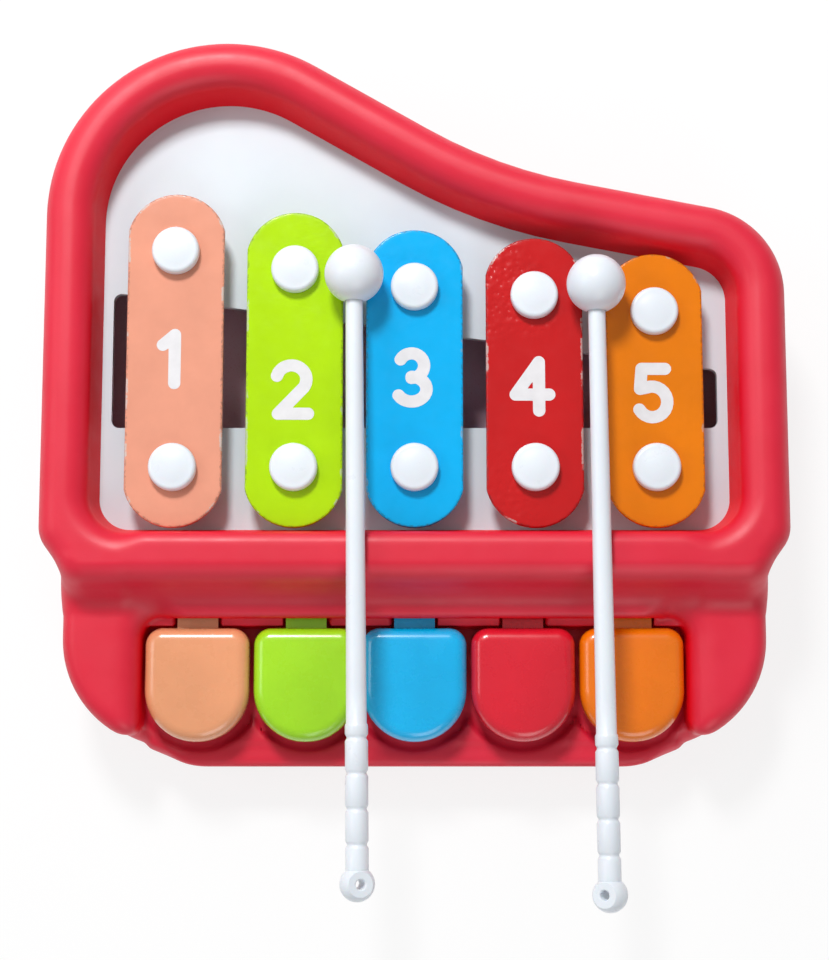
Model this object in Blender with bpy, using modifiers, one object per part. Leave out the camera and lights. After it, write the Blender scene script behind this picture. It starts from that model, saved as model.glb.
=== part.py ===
"""Xylophone piano toy with five tone bars, five striking keys and two mallets.

Metres, +Z up, +X to the treble side, +Y from the keys towards the curved back. The feet stand on Z = 0,
and the origin lies under the middle of the toy, mallets included.
"""
import math

import bmesh
import bpy
from mathutils import Matrix, Vector

# Clearances
SEAT_GAP = 0.0003
AXLE_GAP = 0.00025
COVER_GAP = 0.0004
KEY_SIDE_GAP = 0.0019
SLOT_GAP = 0.0008
OVERRUN = 0.004
SMALLEST_ROUND = 0.0002
MERGE_DISTANCE = 0.0000001
COIL_MERGE_DISTANCE = 0.000001

# Resolution of round stretches
ARC_STEP = math.radians(13.7)
EDGE_STEPS = 4
KEY_EDGE_STEPS = 3
HIDDEN_EDGE_STEPS = 2
HOLE_SIDES = 10
TURNED_STEPS = 12
SCREW_STEPS = 8

# Casing outline. Reaches are measured along Y from the front edge of the window.
BODY_WIDTH = 0.230
RIM_WIDTH = 0.0172
RIM_ROUND = 0.0072
RIM_DRAFT = 0.0021
WALL = 0.0022
BASS_RADIUS = 0.056
BASS_REACH = 0.0973
TREBLE_RADIUS = 0.028
TREBLE_REACH = 0.0725
WAIST_RADIUS = 0.150
STEEP_ANGLE = math.radians(30)
SHALLOW_ANGLE = math.radians(11)
WINDOW_CORNER = 0.0092
SHOULDER_REACH = 0.0037
SHOULDER_RADIUS = 0.0105
SHOULDER_ANGLE = math.radians(36)
SHOULDER_NOSE = 0.0090

# Front band, key recess, cheeks and lip
BAND_DEPTH = 0.0238
BAND_SLOPE = math.radians(56)
BAND_SINK = 0.0001
BAND_END_ROUND = 0.0050
LEDGE_WIDTH = 0.0039
CHEEK_INSET = 0.00605
CHEEK_WIDTH = 0.0236
CHEEK_RISE = 0.0025
CHEEK_ROUND = 0.0055
CHEEK_CORNER = 0.0335
CHEEK_NOSE = 0.0016
RECESS_CORNER = 0.0065
RECESS_DRAFT = 0.0006
RECESS_ROUND = 0.0025
BED_DROP = 0.0140
LIP_REACH = 0.0060
LIP_SLANT = 0.0150
LIP_ROUND = 0.0030
LIP_CORNER = 0.0250
LIP_INSET = 0.0006

# Heights
FOOT_HEIGHT = 0.0012
DECK_HEIGHT = 0.0295
RIM_RISE = 0.0165
COVER_THICKNESS = 0.0022

# Deck
DECK_THICKNESS = 0.0025
DECK_MARGIN = 0.0045
SLOT_SIDE_MARGIN = 0.0028
SLOT_FRONT_REACH = 0.0318
SLOT_REAR_REACH = 0.0628
SLOT_SLANT = math.radians(7.4)
SLOT_CORNER = 0.0025
LUG_RADIUS = 0.0045
LUG_REACH = 0.0055
BOSS_RADIUS = 0.0050
BOSS_HEIGHT = 0.0062

# Tone bars, tuned to the first five notes of a major scale
SEMITONES = (0, 2, 4, 5, 7)
BAR_LENGTH = 0.105
BAR_GAP = 0.0071
BAR_SIDE_GAP = 0.0086
BAR_THICKNESS = 0.0020
BAR_END_RISE = 0.0118
BAR_EDGE = 0.0003
BAR_FRONT_REACH = 0.0008
PIN_INSET = 0.0185
PAD_HEIGHT = 0.0017
PAD_RADIUS = 0.0060

# Pins
PIN_CAP_RADIUS = 0.00735
PIN_CAP_HEIGHT = 0.0040
PIN_CAP_ROUND = 0.0014
PIN_DOME = 0.0007
PIN_STEM_RADIUS = 0.0019
PIN_TAIL = 0.0005

# Keys: caps, levers and hammer heads
KEY_COUNT = 5
KEY_GAP = 0.00135
KEY_LENGTH = 0.0351
KEY_HEIGHT = 0.0077
KEY_ROUND = 0.0040
KEY_WALL = 0.0018
KEY_BACK_CORNER = 0.0055
KEY_NOSE_SHARE = 0.495
KEY_BACK_GAP = 0.0028
KEY_TRAVEL = math.radians(7)
AXLE_BEHIND_KEY = 0.0123
AXLE_BELOW_KEY_TOP = 0.0070
AXLE_RADIUS = 0.0015
AXLE_END = 0.0015
HUB_RADIUS = 0.0034
HUB_END_GAP = 0.0004
ARM_WIDTH = 0.0126
ARM_THICKNESS = 0.0033
ARM_DROP = 0.0017
TAIL_WIDTH = 0.0080
TAIL_THICKNESS = 0.0032
TAIL_DROP = 0.0042
TAIL_END = 0.0040
STRIKE_REACH = 0.0430
STRIKE_GAP = 0.0004
HEAD_RADIUS = 0.0045
HEAD_HEIGHT = 0.0060
HEAD_ROUND = 0.0018
HEAD_SEAT_RADIUS = 0.0037
PEG_RADIUS = 0.0015
PEG_HEIGHT = 0.0035

# Key springs
SPRING_RADIUS = 0.0032
SPRING_WIRE = 0.0007
SPRING_TURNS = 4
SPRING_POINTS = 8
SPIGOT_RADIUS = 0.0020
SPIGOT_HEIGHT = 0.0035

# Axle posts and the ribs that hold the axle down in them
POST_THICKNESS = 0.0030
POST_DEPTH = 0.0085
POST_LIP = 0.0006
KEEPER_DEPTH = 0.0080

# Screws and feet
SCREW_RADIUS = 0.0012
SCREW_HEAD_RADIUS = 0.0027
SCREW_HEAD_HEIGHT = 0.0012
SCREW_LENGTH = 0.0090
SCREW_POST_RADIUS = 0.0032
SCREW_POST_REACH = 0.0072
PILOT_DEPTH = 0.0110
CHEEK_SCREW_REACH = 0.0430
SIDE_LUG_REACH = 0.0300
BASS_SCREW_ANGLE = math.radians(118)
BASS_LUG_ANGLE = math.radians(84)
TREBLE_SCREW_ANGLE = math.radians(48)
FOOT_RADIUS = 0.0060
FOOT_TAPER = 0.0005
FOOT_INSET = 0.0220
REAR_FOOT_INSET = 0.0180

# Mallets
BALL_RADIUS = 0.00905
BALL_SEGMENTS = 16
BALL_RINGS = 10
SOCKET_BEYOND_CENTRE = 0.0030
MALLET_LENGTH = 0.1835
SHAFT_RADIUS = 0.0026
SHAFT_END_RADIUS = 0.0031
GRIP_RADIUS = 0.00345
GRIP_LENGTH = 0.0415
GRIP_SEGMENTS = 4
GROOVE_WIDTH = 0.0009
GROOVE_DEPTH = 0.0005
GROOVE_PLACE_SHARE = 0.41
EYE_RADIUS = 0.00525
EYE_HOLE_RADIUS = 0.0015
EYE_THICKNESS = 0.0074
EYE_STEPS = 5
LEFT_BALL_REACH = 0.0765
RIGHT_BALL_REACH = 0.0734
LEFT_YAW = math.radians(0.55)
RIGHT_YAW = math.radians(0.50)
LEFT_ROLL = math.radians(18)
RIGHT_ROLL = math.radians(-33)

# Heights that follow
BASE_Z = FOOT_HEIGHT + SEAT_GAP
COVER_TOP_Z = BASE_Z + COVER_THICKNESS
DECK_TOP_Z = BASE_Z + DECK_HEIGHT
DECK_BOTTOM_Z = DECK_TOP_Z - DECK_THICKNESS
SKIRT_Z = DECK_TOP_Z + SEAT_GAP
CREST_Z = DECK_TOP_Z + RIM_RISE
RIM_SPRING_Z = CREST_Z - RIM_ROUND
BOSS_TOP_Z = DECK_TOP_Z + BOSS_HEIGHT
PAD_Z = BOSS_TOP_Z + SEAT_GAP
BAR_Z = PAD_Z + PAD_HEIGHT + SEAT_GAP
BAR_TOP_Z = BAR_Z + BAR_THICKNESS
PIN_Z = BAR_TOP_Z + SEAT_GAP
KEY_TOP_Z = DECK_TOP_Z
CHEEK_Z = KEY_TOP_Z + CHEEK_RISE
BED_Z = KEY_TOP_Z - BED_DROP
AXLE_Z = KEY_TOP_Z - AXLE_BELOW_KEY_TOP

# Places along Y that follow
MALLET_TIP_REACH = RIGHT_BALL_REACH - MALLET_LENGTH * math.cos(RIGHT_YAW) - EYE_RADIUS
WINDOW_Y = -(BASS_REACH + BASS_RADIUS + MALLET_TIP_REACH) / 2
BASS_Y = WINDOW_Y + BASS_REACH
TREBLE_Y = WINDOW_Y + TREBLE_REACH
SHOULDER_Y = WINDOW_Y - SHOULDER_REACH
FOOT_OF_BAND_Y = WINDOW_Y - BAND_DEPTH
RECESS_Y = FOOT_OF_BAND_Y - LEDGE_WIDTH
KEY_BACK_Y = RECESS_Y - KEY_BACK_GAP
KEY_FRONT_Y = KEY_BACK_Y - KEY_LENGTH
AXLE_Y = KEY_BACK_Y + AXLE_BEHIND_KEY
CHEEK_Y = KEY_FRONT_Y - CHEEK_NOSE
LIP_Y = CHEEK_Y - LIP_REACH
STRIKE_Y = WINDOW_Y + STRIKE_REACH
BAR_FRONT_Y = WINDOW_Y - BAR_FRONT_REACH

# Widths that follow
HALF_BODY = BODY_WIDTH / 2
HALF_WINDOW = HALF_BODY - RIM_WIDTH
HALF_KEYBOARD = HALF_BODY - CHEEK_INSET
HALF_RECESS = HALF_KEYBOARD - CHEEK_WIDTH
BAR_PITCH = (2 * (HALF_WINDOW - BAR_SIDE_GAP) + BAR_GAP) / len(SEMITONES)
BAR_WIDTH = BAR_PITCH - BAR_GAP
KEY_PITCH = (2 * (HALF_RECESS - KEY_SIDE_GAP) + KEY_GAP) / KEY_COUNT
KEY_WIDTH = KEY_PITCH - KEY_GAP
AXLE_BORE = AXLE_RADIUS + AXLE_GAP
PIN_BORE = PIN_STEM_RADIUS + SEAT_GAP
PILOT_RADIUS = SCREW_RADIUS + SEAT_GAP

# The band's slope is tangent to the rounded front edge of the rim
SLOPE_CENTRE_Y = FOOT_OF_BAND_Y + (
    RIM_ROUND + (RIM_SPRING_Z - CHEEK_Z) * math.cos(BAND_SLOPE)
) / math.sin(BAND_SLOPE)
RIM_FRONT_Y = SLOPE_CENTRE_Y - RIM_ROUND

# Colours as they look in daylight, as shares of full red, green and blue
RED = (0.86, 0.15, 0.22)
WHITE = (0.93, 0.95, 0.98)
BAR_COLOURS = {
    "peach": (0.92, 0.63, 0.53),
    "lime": (0.72, 0.88, 0.13),
    "blue": (0.11, 0.68, 0.93),
    "scarlet": (0.78, 0.16, 0.16),
    "orange": (0.90, 0.48, 0.10),
}
KEY_COLOURS = {
    "peach": (0.93, 0.64, 0.47),
    "lime": (0.62, 0.88, 0.22),
    "blue": (0.12, 0.70, 0.94),
    "crimson": (0.86, 0.15, 0.23),
    "orange": (0.95, 0.48, 0.06),
}
STEEL = (0.72, 0.72, 0.74)
RUBBER = (0.16, 0.16, 0.17)
FOAM = (0.90, 0.90, 0.88)


# Scene and materials

def clear_scene():
    """Remove every object of the open scene."""
    for item in list(bpy.data.objects):
        bpy.data.objects.remove(item, do_unlink=True)


def new_collection(name):
    """Add a collection to the scene."""
    collection = bpy.data.collections.new(name)
    bpy.context.scene.collection.children.link(collection)
    return collection


def material(name, colour, roughness, metallic=0.0):
    """A Principled material whose colour is given as it looks in daylight."""
    result = bpy.data.materials.new(name)
    result.use_nodes = True
    shader = result.node_tree.nodes["Principled BSDF"]
    linear = [((c + 0.055) / 1.055) ** 2.4 if c > 0.04045 else c / 12.92 for c in colour]
    shader.inputs["Base Color"].default_value = (*linear, 1.0)
    shader.inputs["Roughness"].default_value = roughness
    shader.inputs["Metallic"].default_value = metallic
    return result


# Outlines: a list of corners (x, y, radius), anticlockwise

def corner_directions(corners, index):
    """Directions of the edges into and out of a corner."""
    here = Vector(corners[index][:2])
    before = Vector(corners[index - 1][:2])
    after = Vector(corners[(index + 1) % len(corners)][:2])
    return (here - before).normalized(), (after - here).normalized()


def inset(corners, distance):
    """Move every edge inwards by a distance. Outer corners get tighter, inner ones wider."""
    result = []
    for index, (x, y, radius) in enumerate(corners):
        incoming, outgoing = corner_directions(corners, index)
        first = Vector((-incoming.y, incoming.x))
        second = Vector((-outgoing.y, outgoing.x))
        moved = Vector((x, y)) + (first + second) * (distance / (1 + first.dot(second)))
        change = -distance if incoming.cross(outgoing) > 0 else distance
        result.append((moved.x, moved.y, max(radius + change, SMALLEST_ROUND)))
    return result


def rounded(corners):
    """The outline's points, with each corner drawn as an arc of its radius."""
    points = []
    for index, (x, y, radius) in enumerate(corners):
        incoming, outgoing = corner_directions(corners, index)
        turn = math.atan2(incoming.cross(outgoing), incoming.dot(outgoing))
        start = Vector((x, y)) - incoming * (radius * math.tan(abs(turn) / 2))
        side = Vector((-incoming.y, incoming.x)) * math.copysign(radius, turn)
        steps = max(1, math.ceil(abs(turn) / ARC_STEP))
        for step in range(steps + 1):
            angle = turn * step / steps
            points.append(start + side + Matrix.Rotation(angle, 2) @ -side)
    return points


def circle(centre, radius, sides=HOLE_SIDES):
    """Points of a circle."""
    steps = [math.tau * step / sides for step in range(sides)]
    return [Vector((centre[0] + radius * math.cos(a), centre[1] + radius * math.sin(a))) for a in steps]


def piano_back(edge):
    """The three rear corners of the piano outline, moved in from the casing's edge."""
    bass = (-HALF_BODY, BASS_Y + BASS_RADIUS * math.tan((math.pi / 2 + STEEP_ANGLE) / 2), BASS_RADIUS)
    treble_turn = math.pi / 2 - SHALLOW_ANGLE
    treble = (HALF_BODY, TREBLE_Y + TREBLE_RADIUS * math.tan(treble_turn / 2), TREBLE_RADIUS)
    steep, shallow = math.tan(STEEP_ANGLE), math.tan(SHALLOW_ANGLE)
    waist_x = (bass[1] - treble[1] - steep * HALF_BODY - shallow * HALF_BODY) / (steep - shallow)
    waist_y = treble[1] + shallow * (HALF_BODY - waist_x)
    closed = [
        (HALF_BODY, SHOULDER_Y, SHOULDER_RADIUS),
        treble,
        (waist_x, waist_y, WAIST_RADIUS),
        bass,
        (-HALF_BODY, SHOULDER_Y, SHOULDER_RADIUS),
    ]
    return inset(closed, edge)[1:4]


def rim_corners():
    """Outer edge of the casing round the window, with its shoulders and the front edge under the band."""
    run = (SHOULDER_Y - RIM_FRONT_Y) * math.tan(SHOULDER_ANGLE)
    return [
        (HALF_BODY, SHOULDER_Y, SHOULDER_RADIUS),
        *piano_back(0),
        (-HALF_BODY, SHOULDER_Y, SHOULDER_RADIUS),
        (run - HALF_BODY, RIM_FRONT_Y, SHOULDER_NOSE),
        (HALF_BODY - run, RIM_FRONT_Y, SHOULDER_NOSE),
    ]


def window_corners():
    """Edge of the window where the rim meets the deck."""
    return [
        (HALF_WINDOW, WINDOW_Y, WINDOW_CORNER),
        *piano_back(RIM_WIDTH),
        (-HALF_WINDOW, WINDOW_Y, WINDOW_CORNER),
    ]


def keyboard_corners():
    """Outer edge of the cheeks. The rear edge is buried in the rim."""
    rear = SHOULDER_Y - OVERRUN
    return [
        (HALF_KEYBOARD, rear, SMALLEST_ROUND),
        (-HALF_KEYBOARD, rear, SMALLEST_ROUND),
        (-HALF_KEYBOARD, CHEEK_Y, CHEEK_CORNER),
        (HALF_KEYBOARD, CHEEK_Y, CHEEK_CORNER),
    ]


def lip_corners():
    """Edge of the low lip in front of the keys."""
    half = HALF_RECESS - LIP_INSET
    rear = KEY_BACK_Y
    return [
        (half, rear, SMALLEST_ROUND),
        (-half, rear, SMALLEST_ROUND),
        (-half, CHEEK_Y, LIP_ROUND),
        (LIP_SLANT - half, LIP_Y, LIP_CORNER),
        (half - LIP_SLANT, LIP_Y, LIP_CORNER),
        (half, CHEEK_Y, LIP_ROUND),
    ]


def recess_corners():
    """Edge of the key recess at its bed. It runs out over the lip."""
    half = HALF_RECESS - RECESS_DRAFT
    return [
        (half, RECESS_Y - RECESS_DRAFT, RECESS_CORNER),
        (-half, RECESS_Y - RECESS_DRAFT, RECESS_CORNER),
        (-half, LIP_Y - CHEEK_CORNER, SMALLEST_ROUND),
        (half, LIP_Y - CHEEK_CORNER, SMALLEST_ROUND),
    ]


def slot_corners():
    """The slanted slot in the deck."""
    half = HALF_WINDOW - SLOT_SIDE_MARGIN
    rise = half * math.tan(SLOT_SLANT)
    front, rear = WINDOW_Y + SLOT_FRONT_REACH, WINDOW_Y + SLOT_REAR_REACH
    return [
        (half, front, SLOT_CORNER),
        (half, rear - rise, SLOT_CORNER),
        (-half, rear + rise, SLOT_CORNER),
        (-half, front, SLOT_CORNER),
    ]


# Solids

def add_object(name, mesh, finish=None, parent=None, location=(0, 0, 0), collection=None):
    """Link a mesh as a named object."""
    item = bpy.data.objects.new(name, mesh)
    (collection or PARTS).objects.link(item)
    item.location = location
    item.parent = parent
    if finish is not None:
        mesh.materials.clear()
        mesh.materials.append(finish)
    return item


def mesh_from(name, build):
    """A mesh filled in by a function that takes a bmesh."""
    work = bmesh.new()
    build(work)
    bmesh.ops.remove_doubles(work, verts=work.verts, dist=MERGE_DISTANCE)
    mesh = bpy.data.meshes.new(name)
    work.to_mesh(mesh)
    work.free()
    return mesh


def loft(name, sections):
    """A closed solid through rings of points, the lowest ring first."""

    def build(work):
        rings = [[work.verts.new(point) for point in section] for section in sections]
        count = len(rings[0])
        for lower, upper in zip(rings, rings[1:]):
            for index in range(count):
                after = (index + 1) % count
                work.faces.new((lower[index], lower[after], upper[after], upper[index]))
        work.faces.new(rings[0][::-1])
        work.faces.new(rings[-1])

    return mesh_from(name, build)


def stacked(name, corners, levels):
    """A loft of one outline through levels, each an inset and a height."""
    return loft(name, [[(p.x, p.y, height) for p in rounded(inset(corners, edge))] for edge, height in levels])


def round_over(radius, wall, top, steps):
    """Levels of a rounded top edge, or of the same edge a wall's thickness inside it."""
    angles = [math.pi / 2 * step / steps for step in range(steps + 1)]
    inner = max(radius - wall, SMALLEST_ROUND)
    depth = wall + inner
    return [(depth - inner * math.cos(a), top - depth + inner * math.sin(a)) for a in angles]


def round_in(start, radius, wall, top, steps):
    """Levels of a cutter's flared mouth, whose flare leaves a rounded edge of the radius behind."""
    angles = [math.pi / 2 * step / steps for step in range(steps + 1)]
    inner = max(radius - wall, SMALLEST_ROUND)
    return [(inner * math.cos(a) - start - radius, top - radius + inner * math.sin(a)) for a in angles]


def plate(name, loops, low, high):
    """A flat plate between two heights. Loops inside the first are holes."""
    curve = bpy.data.curves.new(name, "CURVE")
    curve.dimensions = "2D"
    curve.fill_mode = "BOTH"
    curve.extrude = (high - low) / 2
    for points in loops:
        spline = curve.splines.new("POLY")
        spline.points.add(len(points) - 1)
        for target, point in zip(spline.points, points):
            target.co = (point[0], point[1], 0, 1)
        spline.use_cyclic_u = True
    return curve_mesh(name, curve, Matrix.Translation((0, 0, (low + high) / 2)))


def curve_mesh(name, curve, placement=None):
    """Turn a curve into a mesh with its caps welded."""
    guide = bpy.data.objects.new(name, curve)
    CUTTERS.objects.link(guide)
    bpy.context.view_layer.update()
    mesh = bpy.data.meshes.new_from_object(guide.evaluated_get(bpy.context.evaluated_depsgraph_get()))
    bpy.data.objects.remove(guide, do_unlink=True)
    bpy.data.curves.remove(curve)
    work = bmesh.new()
    work.from_mesh(mesh)
    bmesh.ops.remove_doubles(work, verts=work.verts, dist=MERGE_DISTANCE)
    bmesh.ops.recalc_face_normals(work, faces=work.faces)
    if placement is not None:
        work.transform(placement)
    work.to_mesh(mesh)
    work.free()
    return mesh


def side_plate(name, points, width, x=0.0):
    """A plate drawn in side view, as points (y, z), and as wide as given along X."""
    flat = plate(name, [points], -width / 2, width / 2)
    flat.transform(Matrix.Translation((x, 0, 0)) @ Matrix(((0, 0, 1, 0), (1, 0, 0, 0), (0, 1, 0, 0), (0, 0, 0, 1))))
    return flat


def cylinders(name, places, radius, low, high, sides=HOLE_SIDES, axis="Z"):
    """Upright cylinders at places (x, y) between two heights, or one along X at a place (y, z)."""

    def build(work):
        for place in places:
            middle = (low + high) / 2
            if axis == "Z":
                matrix = Matrix.Translation((*place, middle))
            else:
                matrix = Matrix.Translation((middle, *place)) @ Matrix.Rotation(math.pi / 2, 4, "Y")
            bmesh.ops.create_cone(
                work, cap_ends=True, segments=sides, radius1=radius, radius2=radius,
                depth=high - low, matrix=matrix,
            )

    return mesh_from(name, build)


def blocks(name, boxes):
    """Boxes, each given as its lowest and highest corner."""

    def build(work):
        for low, high in boxes:
            size = Vector(high) - Vector(low)
            middle = (Vector(high) + Vector(low)) / 2
            bmesh.ops.create_cube(work, matrix=Matrix.Translation(middle) @ Matrix.Diagonal((*size, 1)))

    return mesh_from(name, build)


def turned(name, profile, steps=TURNED_STEPS):
    """A solid of revolution about Z. The profile, as points (r, z), runs down its outer side.

    A profile that starts on the axis ends there too. Any other is closed into a ring.
    """
    mesh = bpy.data.meshes.new(name)
    edges = [(index, index + 1) for index in range(len(profile) - 1)]
    if profile[0][0] > 0:
        edges.append((len(profile) - 1, 0))
    mesh.from_pydata([(radius, 0, height) for radius, height in profile], edges, [])
    guide = bpy.data.objects.new(name, mesh)
    CUTTERS.objects.link(guide)
    screw = guide.modifiers.new("Turn", "SCREW")
    screw.steps = screw.render_steps = steps
    screw.use_merge_vertices = True
    screw.merge_threshold = COIL_MERGE_DISTANCE
    return baked(guide)


def baked(guide):
    """The evaluated mesh of a helper object, which is then removed."""
    bpy.context.view_layer.update()
    mesh = bpy.data.meshes.new_from_object(guide.evaluated_get(bpy.context.evaluated_depsgraph_get()))
    bpy.data.objects.remove(guide, do_unlink=True)
    return mesh


def combined(mesh, tools):
    """Cut, join or intersect a mesh with others, given as (operation, mesh) in order."""
    body = bpy.data.objects.new("body", mesh)
    CUTTERS.objects.link(body)
    for operation, other in tools:
        tool = bpy.data.objects.new("tool", other)
        tool.hide_render = True
        tool.display_type = "WIRE"
        CUTTERS.objects.link(tool)
        boolean = body.modifiers.new(operation.title(), "BOOLEAN")
        boolean.operation = operation
        boolean.solver = "EXACT"
        boolean.object = tool
        result = bpy.data.objects.new("body", baked(body))
        bpy.data.objects.remove(tool, do_unlink=True)
        CUTTERS.objects.link(result)
        body = result
    return baked(body)


def smooth(mesh):
    """Shade round faces smooth and keep the edges of flats sharp."""
    mesh.shade_smooth()
    mesh.set_sharp_from_angle(angle=math.radians(35))
    return mesh


# Places of repeated pieces

def bar_x(index):
    return (index - (len(SEMITONES) - 1) / 2) * BAR_PITCH


def bar_length(index):
    """A free bar's pitch rises with the inverse square of its length."""
    return BAR_LENGTH * 2 ** (-SEMITONES[index] / 24)


def front_pin(index):
    return bar_x(index), BAR_FRONT_Y + PIN_INSET


def rear_pin(index):
    return bar_x(index), BAR_FRONT_Y + bar_length(index) - PIN_INSET


def pin_places():
    rows = (front_pin, rear_pin)
    return [row(index) for row in rows for index in range(len(SEMITONES))]


def key_x(index):
    return (index - (KEY_COUNT - 1) / 2) * KEY_PITCH


def post_places():
    """X of the axle posts, one on each side of every key."""
    return [(index - KEY_COUNT / 2) * KEY_PITCH for index in range(KEY_COUNT + 1)]


def on_bass_arc(edge, angle):
    radius = BASS_RADIUS - edge
    return BASS_RADIUS - HALF_BODY + radius * math.cos(angle), BASS_Y + radius * math.sin(angle)


def on_treble_arc(edge, angle):
    radius = TREBLE_RADIUS - edge
    return HALF_BODY - TREBLE_RADIUS + radius * math.cos(angle), TREBLE_Y + radius * math.sin(angle)


def cover_screw_places():
    """Two in the cheeks and two in the rear corners of the rim."""
    cheek = (HALF_RECESS + HALF_KEYBOARD) / 2
    return [
        (-cheek, WINDOW_Y - CHEEK_SCREW_REACH),
        (cheek, WINDOW_Y - CHEEK_SCREW_REACH),
        on_bass_arc(SCREW_POST_REACH, BASS_SCREW_ANGLE),
        on_treble_arc(SCREW_POST_REACH, TREBLE_SCREW_ANGLE),
    ]


def lug_places():
    """Lugs of the deck, just outside the window."""
    edge = RIM_WIDTH - LUG_REACH
    side = HALF_BODY - edge
    waist = piano_back(edge)[1]
    on_slope = (HALF_WINDOW / 2, waist[1] - (HALF_WINDOW / 2 - waist[0]) * math.tan(SHALLOW_ANGLE))
    return [
        (-side, WINDOW_Y + SIDE_LUG_REACH),
        (side, WINDOW_Y + SIDE_LUG_REACH),
        on_bass_arc(edge, BASS_LUG_ANGLE),
        on_slope,
    ]


def foot_places():
    side = HALF_KEYBOARD - FOOT_INSET
    return [
        (-side, CHEEK_Y + FOOT_INSET),
        (side, CHEEK_Y + FOOT_INSET),
        on_bass_arc(FOOT_INSET, math.radians(135)),
        on_treble_arc(REAR_FOOT_INSET, math.radians(45)),
    ]


# Casing

def edge_steps(wall, shown=EDGE_STEPS):
    """Hidden faces inside the casing get fewer steps round their edges."""
    return HIDDEN_EDGE_STEPS if wall else shown


def rim_block(wall, low):
    """The upper body, rounded over along its top edge."""
    levels = [(wall, low), *round_over(RIM_ROUND, wall, CREST_Z, edge_steps(wall))]
    return stacked("rim_block", rim_corners(), levels)


def window_cutter(wall, low):
    """The window with its leaning walls and the round edge of the rim above them."""
    mouth = round_in(RIM_DRAFT, RIM_ROUND, wall, CREST_Z, edge_steps(wall))
    top = (mouth[-1][0], CREST_Z + OVERRUN)
    return stacked("window", window_corners(), [(-wall, low), *mouth, top])


def band_profile(drop, low):
    """Side view of the slope from the rim down to the keys. The drop lowers the slope into the solid."""
    facet = RIM_ROUND * math.cos(math.pi / 4 / EDGE_STEPS) - BAND_SINK
    top = (
        SLOPE_CENTRE_Y - (facet - drop) * math.sin(BAND_SLOPE),
        RIM_SPRING_Z + (facet - drop) * math.cos(BAND_SLOPE),
    )
    front = FOOT_OF_BAND_Y + drop
    foot = top[1] - (top[0] - front) * math.tan(BAND_SLOPE)
    return [(SLOPE_CENTRE_Y, low), (SLOPE_CENTRE_Y, top[1]), top, (front, foot), (front, low)]


def band_block(wall, low):
    """The slope between the shoulders, rounded over at both ends."""
    half = HALF_KEYBOARD - BAND_SINK - wall
    radius = max(BAND_END_ROUND - wall, SMALLEST_ROUND)
    steps = edge_steps(wall)
    angles = [math.pi / 2 * step / steps for step in range(steps + 1)]
    ends = [(half - radius + radius * math.cos(a), radius - radius * math.sin(a)) for a in angles]
    stations = [(-x, drop) for x, drop in ends] + [(x, drop) for x, drop in reversed(ends)]
    sections = [[(x, y, z) for y, z in band_profile(wall + drop, low)] for x, drop in stations]
    return loft("band_block", sections)


def keyboard_block(wall, low):
    levels = [(wall, low), *round_over(CHEEK_ROUND, wall, CHEEK_Z, edge_steps(wall))]
    return stacked("keyboard_block", keyboard_corners(), levels)


def lip_block(wall, low):
    levels = [(wall, low), *round_over(LIP_ROUND, wall, BED_Z, edge_steps(wall, KEY_EDGE_STEPS))]
    return stacked("lip_block", lip_corners(), levels)


def recess_cutter(wall):
    """The key recess, a little wider towards its rounded mouth."""
    mouth = round_in(RECESS_DRAFT, RECESS_ROUND, wall, CHEEK_Z, edge_steps(wall, KEY_EDGE_STEPS))
    top = (mouth[-1][0], CREST_Z + OVERRUN)
    return stacked("recess", recess_corners(), [(-wall, BED_Z - wall), *mouth, top])


def casing_block(wall):
    """The casing without its window, as a solid shrunk by a wall's thickness.

    The blocks reach below the casing by unlike amounts, so that no two faces lie in one plane.
    """
    lows = [BASE_Z - wall - OVERRUN * step for step in range(1, 5)]
    return combined(
        rim_block(wall, lows[0]),
        [
            ("UNION", band_block(wall, lows[1])),
            ("UNION", keyboard_block(wall, lows[2])),
            ("UNION", lip_block(wall, lows[3])),
            ("DIFFERENCE", recess_cutter(wall)),
        ],
    )


def below_casing():
    """A block that trims the casing level along its lower edge."""
    reach = BODY_WIDTH
    return blocks("below", [((-reach, -reach, -reach), (reach, reach, BASE_Z))])


def screw_posts():
    """Posts inside the casing for the cover's screws and the deck's."""
    cover = cylinders("posts", cover_screw_places(), SCREW_POST_RADIUS, COVER_TOP_Z + SEAT_GAP, CREST_Z)
    deck = cylinders("posts", lug_places(), SCREW_POST_RADIUS, SKIRT_Z, CREST_Z)
    return cover, deck


def pilot_holes():
    cover_low, deck_low = COVER_TOP_Z + SEAT_GAP, SKIRT_Z
    cover = cylinders(
        "pilots", cover_screw_places(), PILOT_RADIUS, cover_low - OVERRUN, cover_low + PILOT_DEPTH, SCREW_STEPS
    )
    deck = cylinders("pilots", lug_places(), PILOT_RADIUS, deck_low - OVERRUN, deck_low + PILOT_DEPTH, SCREW_STEPS)
    return cover, deck


def keeper_ribs():
    """Ribs under the band that stop the axle from leaving its posts."""
    low = AXLE_Z + AXLE_RADIUS + SEAT_GAP
    half = POST_THICKNESS / 2
    return blocks(
        "keepers",
        [((x - half, RECESS_Y, low), (x + half, AXLE_Y + KEEPER_DEPTH / 2, CREST_Z)) for x in post_places()],
    )


def arm_top():
    return KEY_TOP_Z - ARM_DROP


def arm_slots():
    """Slots in the rear wall of the recess for the key arms, with room for their swing."""
    swing = (AXLE_Y - RECESS_Y + WALL) * math.sin(KEY_TRAVEL)
    low = arm_top() - ARM_THICKNESS - swing - SEAT_GAP
    half = ARM_WIDTH / 2 + SLOT_GAP
    return blocks(
        "slots",
        [
            (
                (key_x(index) - half, RECESS_Y - OVERRUN, low),
                (key_x(index) + half, RECESS_Y + WALL + OVERRUN, arm_top() + SEAT_GAP),
            )
            for index in range(KEY_COUNT)
        ],
    )


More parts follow.
